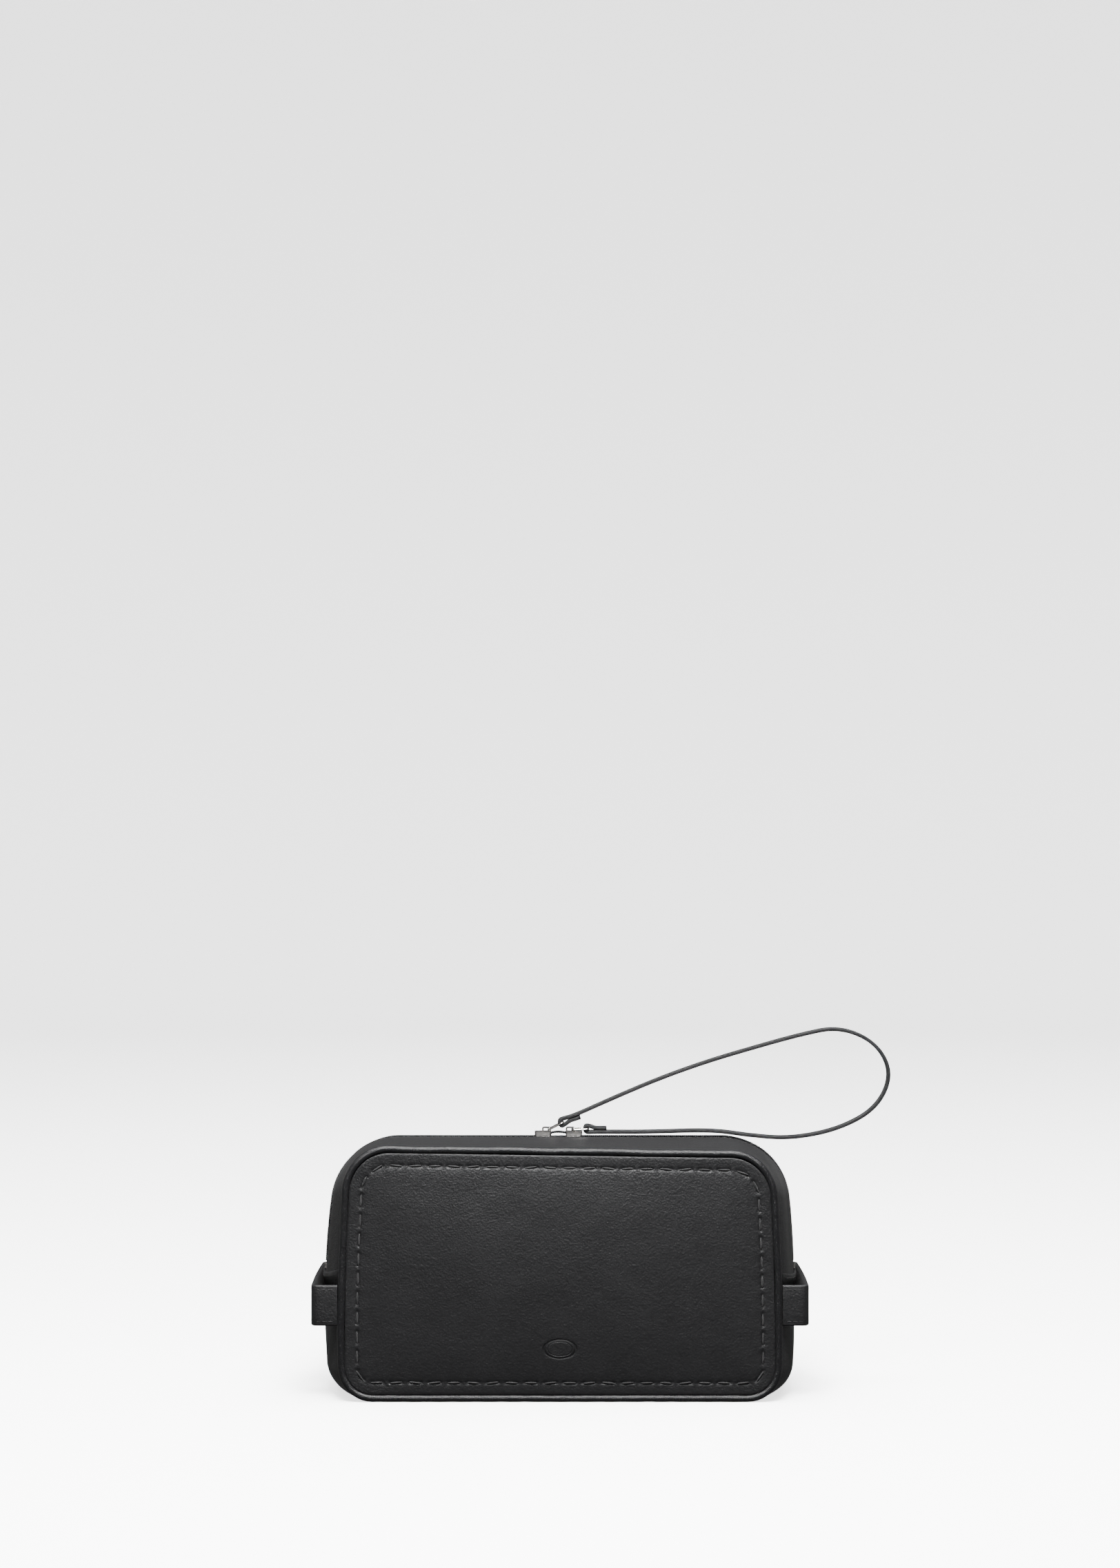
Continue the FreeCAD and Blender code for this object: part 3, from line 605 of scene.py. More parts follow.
def make_cloth(name, rgb, pitch, roughness=0.85, sheen=0.25):
    """Plain-woven cloth: threads both ways, each crossing raised in turn."""
    nodes = Nodes(name)
    turned = nodes.add("Mapping", Vector=nodes.where, Rotation=(math.radians(35), 0, 0))
    warp, weft = (
        (nodes.add(
            "TexWave", bands_direction=way, Vector=(turned, 0), Scale=0.314 / pitch, Distortion=0.4), 1)
        for way in ("X", "Y")
    )
    crossing = nodes.math("MULTIPLY", warp, weft)
    speck = nodes.noise(900.0, 4.0)
    height = nodes.math("ADD", crossing, nodes.math("MULTIPLY", speck, 0.4))
    # Painted shade and highlight: the colour is lighter on the raised crossings and darker between them,
    # following the weave's height.
    return nodes.shade(
        Base_Color=nodes.mix(crossing, full(rgb, 0.6), full(rgb, 1.25)),
        Roughness=nodes.ramp(speck, 0.3, 0.7, roughness - 0.06, roughness + 0.06),
        Normal=nodes.bump(height, 0.15 * MM, 0.8), Sheen_Weight=sheen,
    )


def make_nylon(name, rgb):
    """Smooth black nylon, a little worn on top."""
    nodes = Nodes(name)
    scuff = nodes.noise(900.0, 4.0)
    return nodes.shade(
        Base_Color=nodes.mix(scuff, full(rgb, 0.7), full(rgb, 1.6)),
        Roughness=nodes.ramp(scuff, 0.3, 0.7, 0.24, 0.4), Normal=nodes.bump(scuff, 0.02 * MM, 0.5),
    )


def make_metal(name, rgb, roughness=0.12):
    """Polished plated metal with faint handling marks."""
    nodes = Nodes(name)
    wipe = nodes.noise(260.0, 6.0, Roughness=0.65)
    return nodes.shade(
        Metallic=1.0, Base_Color=nodes.mix(wipe, full(rgb, 0.86), full(rgb, 1.08)),
        Roughness=nodes.ramp(wipe, 0.35, 0.7, roughness - 0.05, roughness + 0.12),
        Normal=nodes.bump(nodes.noise(2600.0, 2.0), 0.01 * MM, 0.4),
    )


def make_board(name, rgb):
    """Pressed grey fibre board."""
    nodes = Nodes(name)
    fibre = nodes.noise(700.0, 6.0, Roughness=0.7)
    return nodes.shade(
        Base_Color=nodes.mix(fibre, full(rgb, 0.7), full(rgb, 1.2)), Roughness=0.9,
        Normal=nodes.bump(fibre, 0.08 * MM, 0.6),
    )


def finish_of(name):
    """One of the bag's materials, made the first time it is asked for."""
    if name in bpy.data.materials:
        return bpy.data.materials[name]
    paint = bpy.context.scene.bag_colours
    hide = tuple(paint.leather)
    makers = {
        "panel leather": lambda: make_leather(name, hide, mark=oval_mark),
        "plain panel leather": lambda: make_leather(name, hide),
        "gusset leather": lambda: make_leather(name, hide, roughness=0.44),
        "piping leather": lambda: make_leather(name, hide, grain=0.6 * MM, roughness=0.23),
        "handle leather": lambda: make_leather(name, hide, roughness=0.45),
        "strap leather": lambda: make_leather(name, hide, grain=0.45 * MM, roughness=0.4),
        "hand thread": lambda: make_thread(name, tuple(paint.thread), 1500.0),
        "machine thread": lambda: make_thread(name, tuple(paint.thread), 4000.0),
        "lining cloth": lambda: make_cloth(name, tuple(paint.cloth), 0.5 * MM),
        "zip tape": lambda: make_cloth(name, tuple(paint.coil), 0.45 * MM, 0.7, 0.15),
        "zip nylon": lambda: make_nylon(name, tuple(paint.coil)),
        "nickel": lambda: make_metal(name, tuple(paint.nickel)),
        "fibre board": lambda: make_board(name, (0.3, 0.3, 0.29)),
    }
    return makers[name]()


# ---- Panels ----


def panel_rings(u, v, section):
    """Places (x, z) inside a section for a square's shares u and v, in rings that follow its edge."""
    a, b = 2 * u - 1, 2 * v - 1
    ring = np.maximum(np.abs(a), np.abs(b))
    safe = np.where(ring > 0, ring, 1)
    a, b = a / safe, b / safe
    total = 2 * section.marks[-1]
    low = section.marks[1] + section.lengths[1] / 2
    high = section.marks[3] + section.lengths[3] / 2
    right = low + (b + 1) / 2 * (high - low)
    top = high + (1 - a) / 2 * (total - 2 * high)
    left = total - right
    base = -low + (a + 1) / 2 * 2 * low
    way = np.select([a >= 1 - 1e-9, b >= 1 - 1e-9, a <= -1 + 1e-9], [right, top, left], base)
    x, z, _, _ = section.walk(way)
    middle = (section.base + section.top) / 2
    reach = 1 - (1 - ring) ** 1.45
    return x * reach, middle + (z - middle) * reach


def distance_to(section, x, z):
    """How far each place is from a section's edge, and the way along the edge to the nearest point."""
    way = np.linspace(0, 2 * section.marks[-1], 1400, endpoint=False)
    ex, ez, out_x, out_z = section.walk(way)
    far, near = np.empty_like(x), np.empty_like(x)
    for start in range(0, len(x), 4000):
        part = slice(start, start + 4000)
        gap = np.hypot(x[part, None] - ex, z[part, None] - ez)
        nearest = gap.argmin(axis=1)
        far[part] = np.abs(
            (x[part] - ex[nearest]) * out_x[nearest] + (z[part] - ez[nearest]) * out_z[nearest])
        near[part] = way[nearest]
    return far, near


def stitch_ways(sizes):
    """The middle of each hand stitch, as a way along the stitch line, and the line itself."""
    line = SEAM.inset(sizes.stitch_line)
    total = 2 * line.marks[-1]
    count = round(total / sizes.stitch_pitch)
    return line, (np.arange(count) + 0.5) * total / count


def soft_noise(places, scale, seed):
    """Smooth noise from -1 to 1 at each place."""
    shift = Vector((seed * 3.1, seed * 1.7, seed * 0.9))
    return np.array([noise.noise(Vector(place) * scale + shift) for place in places])


def panel_relief(x, z, sizes, seed):
    """How far the panel's leather stands out in front of its edge, at each place."""
    inside, _ = distance_to(SEAM, x, z)
    inside = inside - sizes.piping_radius
    shoulder = np.sqrt(np.clip(1 - (1 - np.clip(inside / (1.6 * MM), 0, 1)) ** 2, 0, 1))
    line_at = sizes.stitch_line - sizes.piping_radius
    off_line = np.abs(inside - line_at)
    groove = np.exp(-((off_line / (2.6 * MM)) ** 2))
    swell = np.clip((inside - line_at) / (32 * MM), 0, 1)
    swell = swell * (2 - swell)
    middle = (SEAM.base + SEAM.top) / 2
    dome = (1 - (x / SEAM.half) ** 2) * (1 - ((z - middle) / (SEAM.top - middle)) ** 2)
    line, ways = stitch_ways(sizes)
    _, way = distance_to(line, x, z)
    pitch = ways[1] - ways[0]
    phase = np.abs(np.mod(way - ways[0] + pitch / 2, pitch) - pitch / 2)
    hole = np.exp(-(((phase - sizes.stitch_long / 2) / (0.8 * MM)) ** 2) - (off_line / (0.8 * MM)) ** 2)
    under_thread = np.clip((sizes.stitch_long / 2 - phase) / MM + 0.5, 0, 1)
    slot = np.exp(-((off_line / (0.85 * MM)) ** 2)) * under_thread
    pull = np.exp(-((off_line / (5.0 * MM)) ** 2)) * np.cos(2 * math.pi * phase / pitch)
    flat = np.stack([x, z, 0 * x], axis=1)
    slow = soft_noise(flat, 22.0, seed) * swell
    quick = soft_noise(flat, 75.0, seed + 5) * (0.3 + 0.7 * shoulder)
    mark = ((x / MARK_WIDE) ** 2 + ((z - MARK_LEVEL) / MARK_HIGH) ** 2) ** 0.5
    ring = np.exp(-(((mark - 0.9) / 0.1) ** 2)) if seed == 1 else 0
    return (
        1.7 * MM
        + 0.4 * MM * shoulder
        + sizes.puff * swell
        + sizes.dome * dome
        - 0.16 * MM * groove
        - 0.35 * MM * slot
        - 0.45 * MM * hole
        - 0.05 * MM * pull
        + 0.30 * MM * slow
        + 0.10 * MM * quick
        - 0.18 * MM * ring
    )


def make_panel(side, seed):
    """One padded panel: its leather puffs out between the piping and the row of stitches."""
    sizes = bpy.context.scene.bag_sizes
    outline = SEAM.inset(sizes.piping_radius + 0.05 * MM)
    turn = FACING[side]

    def shape(u, v):
        x, z = panel_rings(u, v, outline)
        return np.stack([x, np.full_like(x, -PANEL_BACK), z], axis=1)

    columns, rows = ((156, 90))
    panel = add_grid(f"{side}_panel_pad", columns, rows, shape)
    apply(panel, "SUBSURF", levels=1, render_levels=1, subdivision_type="SIMPLE")
    places = places_of(panel)
    places[:, 1] = -PANEL_BACK - PANEL_WALL - panel_relief(places[:, 0], places[:, 2], sizes, seed)
    set_places(panel, places)
    edit(
        panel,
        select_border,
        lambda: bpy.ops.mesh.extrude_region_move(TRANSFORM_OT_translate={"value": (0, PANEL_WALL, 0)}),
        bpy.ops.mesh.edge_face_add,
        outwards,
    )
    places = places_of(panel)
    places[:, :2] *= turn
    set_places(panel, lean(places))
    smooth(panel, 60)
    leather = "panel leather" if side == "front" else "plain panel leather"
    finish_piece(panel, finish_of(leather), ROOT, (f"{side}_panel", f"{side}_foam"))
    return panel


def make_hand_stitches(side, seed):
    """The row of thick running stitches just inside a panel's edge."""
    sizes = bpy.context.scene.bag_sizes
    line, ways = stitch_ways(sizes)
    turn = FACING[side]
    back = PANEL_BACK + PANEL_WALL
    x, z, _, _ = line.walk(ways)
    ahead_x, ahead_z, _, _ = line.walk(ways + 1 * MM)
    depth = panel_relief(x, z, sizes, seed)
    template = capsule("stitch", sizes.stitch_long, sizes.thread, sizes.thread, 10, 10, 0.8 * MM)
    places = lean(np.stack([x * turn, -(back + depth + 0.42 * MM) * turn, z], axis=1))
    frames = []
    for number, place in enumerate(places):
        tilt = 0.12 * math.sin(number * 2.3) * MM
        along = ((ahead_x[number] - x[number]) * turn, 0, ahead_z[number] - z[number] + tilt)
        frames.append(basis(place, along, OUT_OF_FRONT * turn))
    thread = stamp(f"{side}_hand_stitches", template, frames)
    finish_piece(thread, finish_of("hand thread"), ROOT)
    return thread


# ---- Piping ----


def make_piping(side, seed):
    """Leather piping all round a panel, bent from a torus, a little wavy along the top."""
    sizes = bpy.context.scene.bag_sizes
    radius = sizes.piping_radius
    turn = FACING[side]
    deselect()
    bpy.ops.mesh.primitive_torus_add(major_segments=600, minor_segments=14, major_radius=1, minor_radius=0.25)
    piping = bpy.context.object
    piping.name = piping.data.name = f"{side}_piping_roll"
    ring = places_of(piping)
    round_ring = np.arctan2(ring[:, 1], ring[:, 0])
    outer = (np.hypot(ring[:, 0], ring[:, 1]) - 1) / 0.25
    side_way = ring[:, 2] / 0.25
    way = round_ring / (2 * math.pi) * 2 * SEAM.marks[-1]
    x, z, out_x, out_z = SEAM.walk(way)
    wave = 0.16 * MM * np.sin(way / (13 * MM) + seed) + 0.1 * MM * np.sin(way / (5.7 * MM) + 2 * seed)
    wave = wave * np.clip(z / (10 * MM), 0, 1)
    squeeze = radius * (1 + 0.03 * np.sin(way / (2.1 * MM) + seed))
    reach = wave + outer * squeeze
    places = np.stack([x + out_x * reach, -(SEAM_DEPTH + side_way * squeeze), z + out_z * reach], axis=1)
    places[:, 2] = np.maximum(places[:, 2], 0.02 * MM)
    places[:, :2] *= turn
    set_places(piping, lean(places))
    edit(piping, outwards)
    smooth(piping, 80)
    return finish_piece(piping, finish_of("piping leather"), ROOT, (f"{side}_piping",))


# ---- Gusset, lining and zip ----


def strip(name, start, end, near, far, lift, columns, rows):
    """A strip of sheet on the gusset, from one way to another and between two depths."""

    def shape(u, v):
        across = start + u * (end - start)
        depth = near + v * (far - near)
        beyond = np.abs(across) > HALF_LOOP
        way = np.where(beyond, across - np.sign(across) * 2 * HALF_LOOP, across)
        return on_gusset(way, depth, lift(across, depth))

    return add_grid(name, columns, rows, shape)


def make_base_gusset():
    """The leather under the bag and up both sides, its top edges lapped over the zip strips."""
    sizes = bpy.context.scene.bag_sizes

    def lift(across, depth):
        return 1.25 * MM * np.clip((np.abs(across) - LAP + 9 * MM) / (6 * MM), 0, 1)

    base = strip("base_gusset_leather", -LAP, LAP, -EDGE_DEPTH, EDGE_DEPTH, lift, 240, 44)
    face_out(base)
    thicken(base, sizes.leather, 0.4 * MM)
    places = places_of(base)
    places[:, 2] = np.maximum(places[:, 2], 0)
    set_places(base, places)
    smooth(base)
    finish_piece(base, finish_of("gusset leather"), ROOT, ("base_gusset",))


def face_out(sheet):
    """Turn an open sheet's faces away from the bag's middle."""
    middle = Vector((0, 0, (MIDDLE.base + MIDDLE.top) / 2))
    total = sum(face.normal.dot(face.center - middle) * face.area for face in sheet.data.polygons)
    if total < 0:
        edit(sheet, bpy.ops.mesh.flip_normals)


def zip_side(name, side, near, far, lift, thick, columns, rows, edge=0.0, lap=7 * MM):
    """A strip along one side of the zip, from one handle over the top to the other."""
    turn = -FACING[side]
    low = LAP - lap
    sheet = strip(name, low, 2 * HALF_LOOP - low, turn * near, turn * far, lift, columns, rows)
    face_out(sheet)
    thicken(sheet, thick, edge)
    smooth(sheet)
    return sheet


def make_zip_strip(side):
    """The leather strip between the seam and the zip, its edge pressed down by the stitching."""
    sizes = bpy.context.scene.bag_sizes
    lip = -LIP_HIGH.y

    def lift(across, depth):
        off_row = np.abs(np.abs(depth) - lip - ZIP_ROW)
        row = -0.28 * MM * np.exp(-((off_row / (1.1 * MM)) ** 2))
        roll = -0.35 * MM * np.exp(-(((np.abs(depth) - lip) / (0.8 * MM)) ** 2))
        return row + roll

    sheet = zip_side(f"zip_strip_{side}", side, EDGE_DEPTH, lip, lift, sizes.leather, 300, 34, 0.35 * MM)
    nodes = [f"gusset_{side}_left", f"gusset_{side}_right", f"mouth_flap_{side}"]
    finish_piece(sheet, finish_of("gusset leather"), None, nodes)
    follow_lip(sheet)


def make_zip_tape(side):
    """The woven tape that carries one side of the coil."""
    sheet = zip_side(
        f"zip_tape_{side}_woven", side, 12 * MM, 1.2 * MM, lambda a, d: -1.62 * MM, 0.5 * MM, 300, 8
    )
    finish_piece(sheet, finish_of("zip tape"), None, (f"zip_tape_{side}",))
    follow_lip(sheet)


def make_strip_lining(side):
    """The lining under one zip strip."""
    sheet = zip_side(
        f"strip_lining_{side}", side, 47 * MM, 12.25 * MM, lambda a, d: -1.65 * MM, 0.5 * MM, 240, 16, 0, 0
    )
    finish_piece(sheet, finish_of("lining cloth"), None, (f"mouth_lining_{side}",))
    follow_lip(sheet)


def make_base_lining():
    """The lining of the base and sides, lying on the board."""

    def lift(across, depth):
        bottom = np.clip((112 * MM - np.abs(across)) / (8 * MM), 0, 1)
        ripple = 0.075 * MM * np.sin(across / (11 * MM)) * np.sin(depth / (9 * MM))
        return -1.65 * MM - 1.6 * MM * bottom - ripple

    sheet = strip("base_lining", -LAP, LAP, -47 * MM, 47 * MM, lift, 200, 30)
    face_out(sheet)
    thicken(sheet, 0.5 * MM)
    smooth(sheet)
    finish_piece(sheet, finish_of("lining cloth"), ROOT, ("gusset_lining",))


def make_panel_lining(side, seed):
    """The lining behind a panel, slightly rippled."""
    outline = SEAM.inset(2.4 * MM)
    turn = FACING[side]
    low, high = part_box(f"{side}_lining")
    depth = max(abs(low.y), abs(high.y))

    def shape(u, v):
        x, z = panel_rings(u, v, outline)
        ripple = 0.1 * MM * soft_noise(np.stack([x, z, 0 * x], axis=1), 60.0, seed)
        return np.stack([x * turn, -(depth - 0.2 * MM + ripple) * turn, z], axis=1)

    sheet = add_grid(f"{side}_panel_lining", 90, 50, shape)
    face_out(sheet)
    thicken(sheet, 0.4 * MM)
    smooth(sheet)
    finish_piece(sheet, finish_of("lining cloth"), ROOT, (f"{side}_lining",))


def coil_hump(x):
    """How far the coils rise between the two sliders."""
    left, right = SLIDERS[0].x, SLIDERS[1].x
    middle, half = (left + right) / 2, (right - left) / 2 - 1.2 * MM
    rise = np.clip(1 - ((x - middle) / half) ** 2, 0, 1)
    return 2.5 * MM * rise**0.6


def coil_gap(x):
    """How far each coil stands off the zip's middle: nothing where closed, more between sliders."""
    left, right = SLIDERS[0].x, SLIDERS[1].x
    inward = np.clip(np.minimum(x - left + 1.6 * MM, right + 1.6 * MM - x) / (4.5 * MM), 0, 1)
    return 1.3 * MM * ease(inward)


def make_coil(side):
    """One side of the nylon coil: a turn every pitch, its head reaching over the middle."""
    sizes = bpy.context.scene.bag_sizes
    turn = -FACING[side]
    template = capsule("coil_turn", 2.75 * MM, 0.86 * MM, 1.5 * MM, 8, 7, 0.35 * MM)
    end = HALF_LOOP - LAP - 5 * MM
    count = int(2 * end / sizes.coil_pitch)
    shift = 0.5 if side == "front" else 0.0
    tops = (np.arange(count) + shift - count / 2) * sizes.coil_pitch
    across = from_top(tops)
    near_sliders = np.abs(tops) < PARTED
    depth = turn * (1.05 * MM + np.where(near_sliders, coil_gap(tops), 0))
    lift = np.where(near_sliders, coil_hump(tops), 0) - 0.35 * MM
    places = on_gusset(across, depth, lift)
    beyond = on_gusset(across * 0.999, depth, lift)
    frames = []
    for place, near in zip(places, beyond):
        run = Vector(near - place).normalized()
        run = run if run.x >= 0 else -run
        out = run.cross(Vector((0, 1, 0)))
        out = out if out.z > 0 or out.dot(Vector(place)) > 0 else -out
        slant = Vector((0, -turn, 0)) + run * 0.16
        frames.append(basis(place, slant, out))
    coil = stamp(f"zip_coil_{side}_turns", template, frames)
    finish_piece(coil, finish_of("zip nylon"), None, (f"zip_coil_{side}",))
    follow_lip(coil)


# ---- Machine stitches ----


def row_of_stitches(name, places, outs, body=ROOT, lip=None):
    """Machine stitches end to end along a row of places."""
    template = capsule("machine_stitch", 2.5 * MM, 0.5 * MM, 0.5 * MM, 6, 5, 0.22 * MM)
    frames = [
        basis((Vector(a) + Vector(b)) / 2, Vector(b) - Vector(a), out)
        for a, b, out in zip(places[:-1], places[1:], outs)
    ]
    row = stamp(name, template, frames)
    finish_piece(row, finish_of("machine thread"), None if lip else body)
    if lip:
        follow_lip(row)
    return row


def make_zip_stitches(side):
    """The row of stitches along a zip strip's edge."""
    sizes = bpy.context.scene.bag_sizes
    turn = -FACING[side]
    end = HALF_LOOP - LAP
    tops = np.arange(-end, end, sizes.machine_pitch)
    across = from_top(tops)
    depth = np.full_like(across, turn * (-LIP_HIGH.y + ZIP_ROW))
    places = on_gusset(across, depth, -0.12 * MM)
    outs = on_gusset(across, depth, 1 * MM) - places
    return row_of_stitches(f"zip_stitches_{side}", places, outs, lip=f"mouth_{side}")


def make_seam_stitches(side):
    """Fine stitches between a panel and its piping."""
    sizes = bpy.context.scene.bag_sizes
    turn = FACING[side]
    line = SEAM.inset(sizes.piping_radius + 0.75 * MM)
    total = 2 * line.marks[-1]
    count = round(total / sizes.machine_pitch)
    x, z, _, _ = line.walk(np.arange(count + 1) * total / count)
    depth = SEAM_DEPTH + 0.95 * MM
    places = lean(np.stack([x * turn, np.full_like(x, -depth * turn), z], axis=1))
    outs = [OUT_OF_FRONT * turn] * len(places)
    return row_of_stitches(f"{side}_seam_stitches", places, outs)


def make_lap_stitches(side):
    """Stitches along the base gusset's lapped edge."""
    sizes = bpy.context.scene.bag_sizes
    turn = -1 if side == "left" else 1
    depth = np.arange(-45 * MM, 45 * MM, sizes.machine_pitch)
    across = np.full_like(depth, turn * (LAP - 2.2 * MM))
    places = on_gusset(across, depth, 1.15 * MM)
    outs = [(turn, 0, 0.02)] * len(places)
    return row_of_stitches(f"lap_stitches_{side}", places, outs)


# ---- Handles and strap ----


def handle_line(turn):
    """The middle line of a side handle, which bows a little off the bag."""
    low, high = HANDLE_LOW, HANDLE_HIGH
    out = high.x - 1.25 * MM
    depth = high.y - 1.25 * MM
    level = (low.z + high.z) / 2
    start = low.x
    corner = 6 * MM
    points = [
        (start, -depth), (start + 5 * MM, -depth), (out - corner, -depth - 0.1 * MM),
        (out - 0.2 * MM, -depth + 0.1 * MM), (out - 0.1 * MM, -depth + corner), (out + 0.25 * MM, -25 * MM),
        (out + 0.45 * MM, 0),
    ]
    points += [(x, -y) for x, y in reversed(points[:-1])]
    return [Vector((x * turn, y * turn, level)) for x, y in points]


def make_handle(side):
    """A flat leather handle sewn into the front and back seams, stitched along both edges."""
    turn = -1 if side == "left" else 1
    wide = HANDLE_HIGH.z - HANDLE_LOW.z
    thick = 2.5 * MM
    line = evenly(route_points("handle_line", handle_line(turn)), 150)
    band = sweep_band(f"handle_band_{side}", line, (0, 0, 1), wide, thick, 0.9 * MM)
    smooth(band, 60)
    finish_piece(band, finish_of("handle leather"), ROOT, (f"side_handle_{side}",))
    along = np.gradient(line, axis=0)
    along /= np.linalg.norm(along, axis=1)[:, None]
    outward = np.cross(along, (0, 0, 1.0))
    sizes = bpy.context.scene.bag_sizes
    way = np.concatenate([[0], np.cumsum(np.linalg.norm(np.diff(line, axis=0), axis=1))])
    wanted = np.arange(2 * MM, way[-1] - 1 * MM, sizes.machine_pitch)
    spots = np.stack([np.interp(wanted, way, line[:, axis]) for axis in range(3)], axis=1)
    outs = np.stack([np.interp(wanted, way, outward[:, axis]) for axis in range(3)], axis=1)
    for edge, sign in (("top", 1), ("base", -1)):
        rise = np.array([0, 0, sign * (wide / 2 - HANDLE_ROW)])
        rows = spots + outs * (thick / 2 - 0.02 * MM) + rise
        row_of_stitches(f"handle_{side}_{edge}_stitches", rows, outs)


def fold_points(bar, slope, tab_side):
    """Where the strap turns round a link's bar: tab end, kink, two corners and the strand."""
    along = Vector((math.cos(slope), 0, math.sin(slope)))
    across = Vector((-math.sin(slope), 0, math.cos(slope))) * tab_side
    steps = [
        (10.0, 0.4), (7.0, 0.36), (3.6, 0.4), (1.5, 1.3),
        (-1.95, 2.1), (-1.95, -2.1), (2.5, -1.75), (8.0, -1.7),
    ]
    return [bar + along * (a * MM) + across * (b * MM) for a, b in steps]


def link_bar(side):
    """The middle of a link's outer bar."""
    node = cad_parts[f"pull_link_{side}"]
    places = np.array([vertex.co for vertex in node.data.vertices])
    bar_x = places[:, 0].max() - 0.5 * MM
    heights = places[places[:, 0] > bar_x, 2]
    return Vector((bar_x, 0, (heights.min() + heights.max()) / 2))


# The loop's line, from the left link's strand out to the far tip and back to the right one's.
LOOP_OUT = [(30, 160.0), (55, 170.6), (81, 179.9), (107, 187.6), (132, 194.6), (154, 199.2)]
LOOP_BACK = [
    (174.5, 190.5), (183.5, 173.2), (175, 154.2), (154, 142.6), (128, 137.4),
    (106, 138.9), (84, 142.2), (50, 141.0),
]


def make_strap():
    """The wrist strap: two halves that meet at the loop's far tip, each cut where its end's swing fades."""
    sizes = bpy.context.scene.bag_sizes
    left = fold_points(link_bar("left"), math.radians(18), -1)
    right = fold_points(link_bar("right"), 0, 1)
    loop = [Vector((x * MM, 0, z * MM)) for x, z in LOOP_OUT + LOOP_BACK]
    line = evenly(route_points("strap_line", left + loop + right[::-1]), 700)
    tip = int(np.argmax(line[:, 2])) + 60
    for name, side, part in (("upper", "left", line[: tip + 1]), ("lower", "right", line[tip:][::-1])):
        bar_x = link_bar(side).x
        break_x = bar_x + 42 * MM
        way_out = int(np.argmax(part[:, 0] > break_x))
        for piece, run, near, far, ends in (
            ("end", part[: way_out + 1], f"pull_{side}", f"slider_{side}", (bar_x - 2 * MM, bar_x + 8 * MM)),
            ("loop", part[way_out:], f"slider_{side}", ROOT, (break_x, 160 * MM)),
        ):
            strap = sweep_band(
                f"wrist_strap_{name}_{piece}", run, (0, 1, 0), sizes.strap_wide, sizes.strap_thick, 0.5 * MM
            )
            smooth(strap, 60)
            finish_piece(strap, finish_of("strap leather"), None, ("wrist_strap",))
            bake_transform(strap)


# ---- Kept hardware ----


def finish_hardware():
    """Give the kept metal and board their finishes."""
    nickel = [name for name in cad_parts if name.startswith(("slider_", "pull_link", "zip_stop"))]
    for name in nickel:
        dress(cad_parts[name], finish_of("nickel"))
    dress(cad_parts["base_board"], finish_of("fibre board"))


def dress(node, material):
    """Put one material in every slot of a kept node."""
    for slot in node.material_slots:
        slot.material = material


# ---- Stage ----


def make_floor():
    """A pale round floor that curves up into a wall on all sides."""
    paint = bpy.context.scene.bag_colours
    radius = 1.2
    flat = 3.0
    reach_of_all = 7.0

    def shape(u, v):
        turn = 2 * math.pi * u
        way = v * reach_of_all
        bend = np.clip((way - flat) / radius, 0, math.pi / 2)
        rise = np.clip(way - flat - radius * math.pi / 2, 0, None)
        reach = np.minimum(way, flat) + radius * np.sin(bend)
        height = radius * (1 - np.cos(bend)) + rise
        return np.stack([reach * np.cos(turn), reach * np.sin(turn), height], axis=1)

    floor = add_grid("floor", 96, 70, shape)
    edit(floor, lambda: bpy.ops.mesh.remove_doubles(threshold=1e-5))
    smooth(floor, 80)
    nodes = Nodes("pale paper")
    parts = nodes.add("SeparateXYZ", Vector=nodes.where)
    away = nodes.math("SQRT", nodes.math("ADD", nodes.math("POWER", (parts, 0), 2.0),
                                         nodes.math("POWER", (parts, 1), 2.0)))
    # Painted light: the floor glows by emission, strength 2.0 near the middle fading to 1.5 from 0.3 m to 2.2
    # m out, a pool of light round the bag.
    floor.data.materials.append(nodes.shade(
        Base_Color=nodes.mix(nodes.noise(900.0, 2.0), full(paint.floor, 0.985), full(paint.floor, 1.01)),
        Roughness=0.8, Specular_IOR_Level=0.0, Emission_Color=(1, 1, 1, 1),
        Emission_Strength=nodes.ramp(away, 0.3, 2.2, 2.0, 1.5),
    ))
    floor.visible_diffuse = floor.visible_glossy = floor.visible_shadow = False
    return floor


def add_light(name, place, target, size, power, only_on=None):
    """A soft square light aimed at a point, on everything or only on one group."""
    lamp = bpy.data.lights.new(name, "AREA")
    lamp.shape = "RECTANGLE"
    lamp.size, lamp.size_y = size
    lamp.energy = power
    light = bpy.data.objects.new(name, lamp)
    light.location = place
    light.rotation_euler = (Vector(target) - Vector(place)).to_track_quat("-Z", "Y").to_euler()
    light.visible_camera = False
    bpy.context.collection.objects.link(light)
    if only_on:
        light.light_linking.receiver_collection = only_on


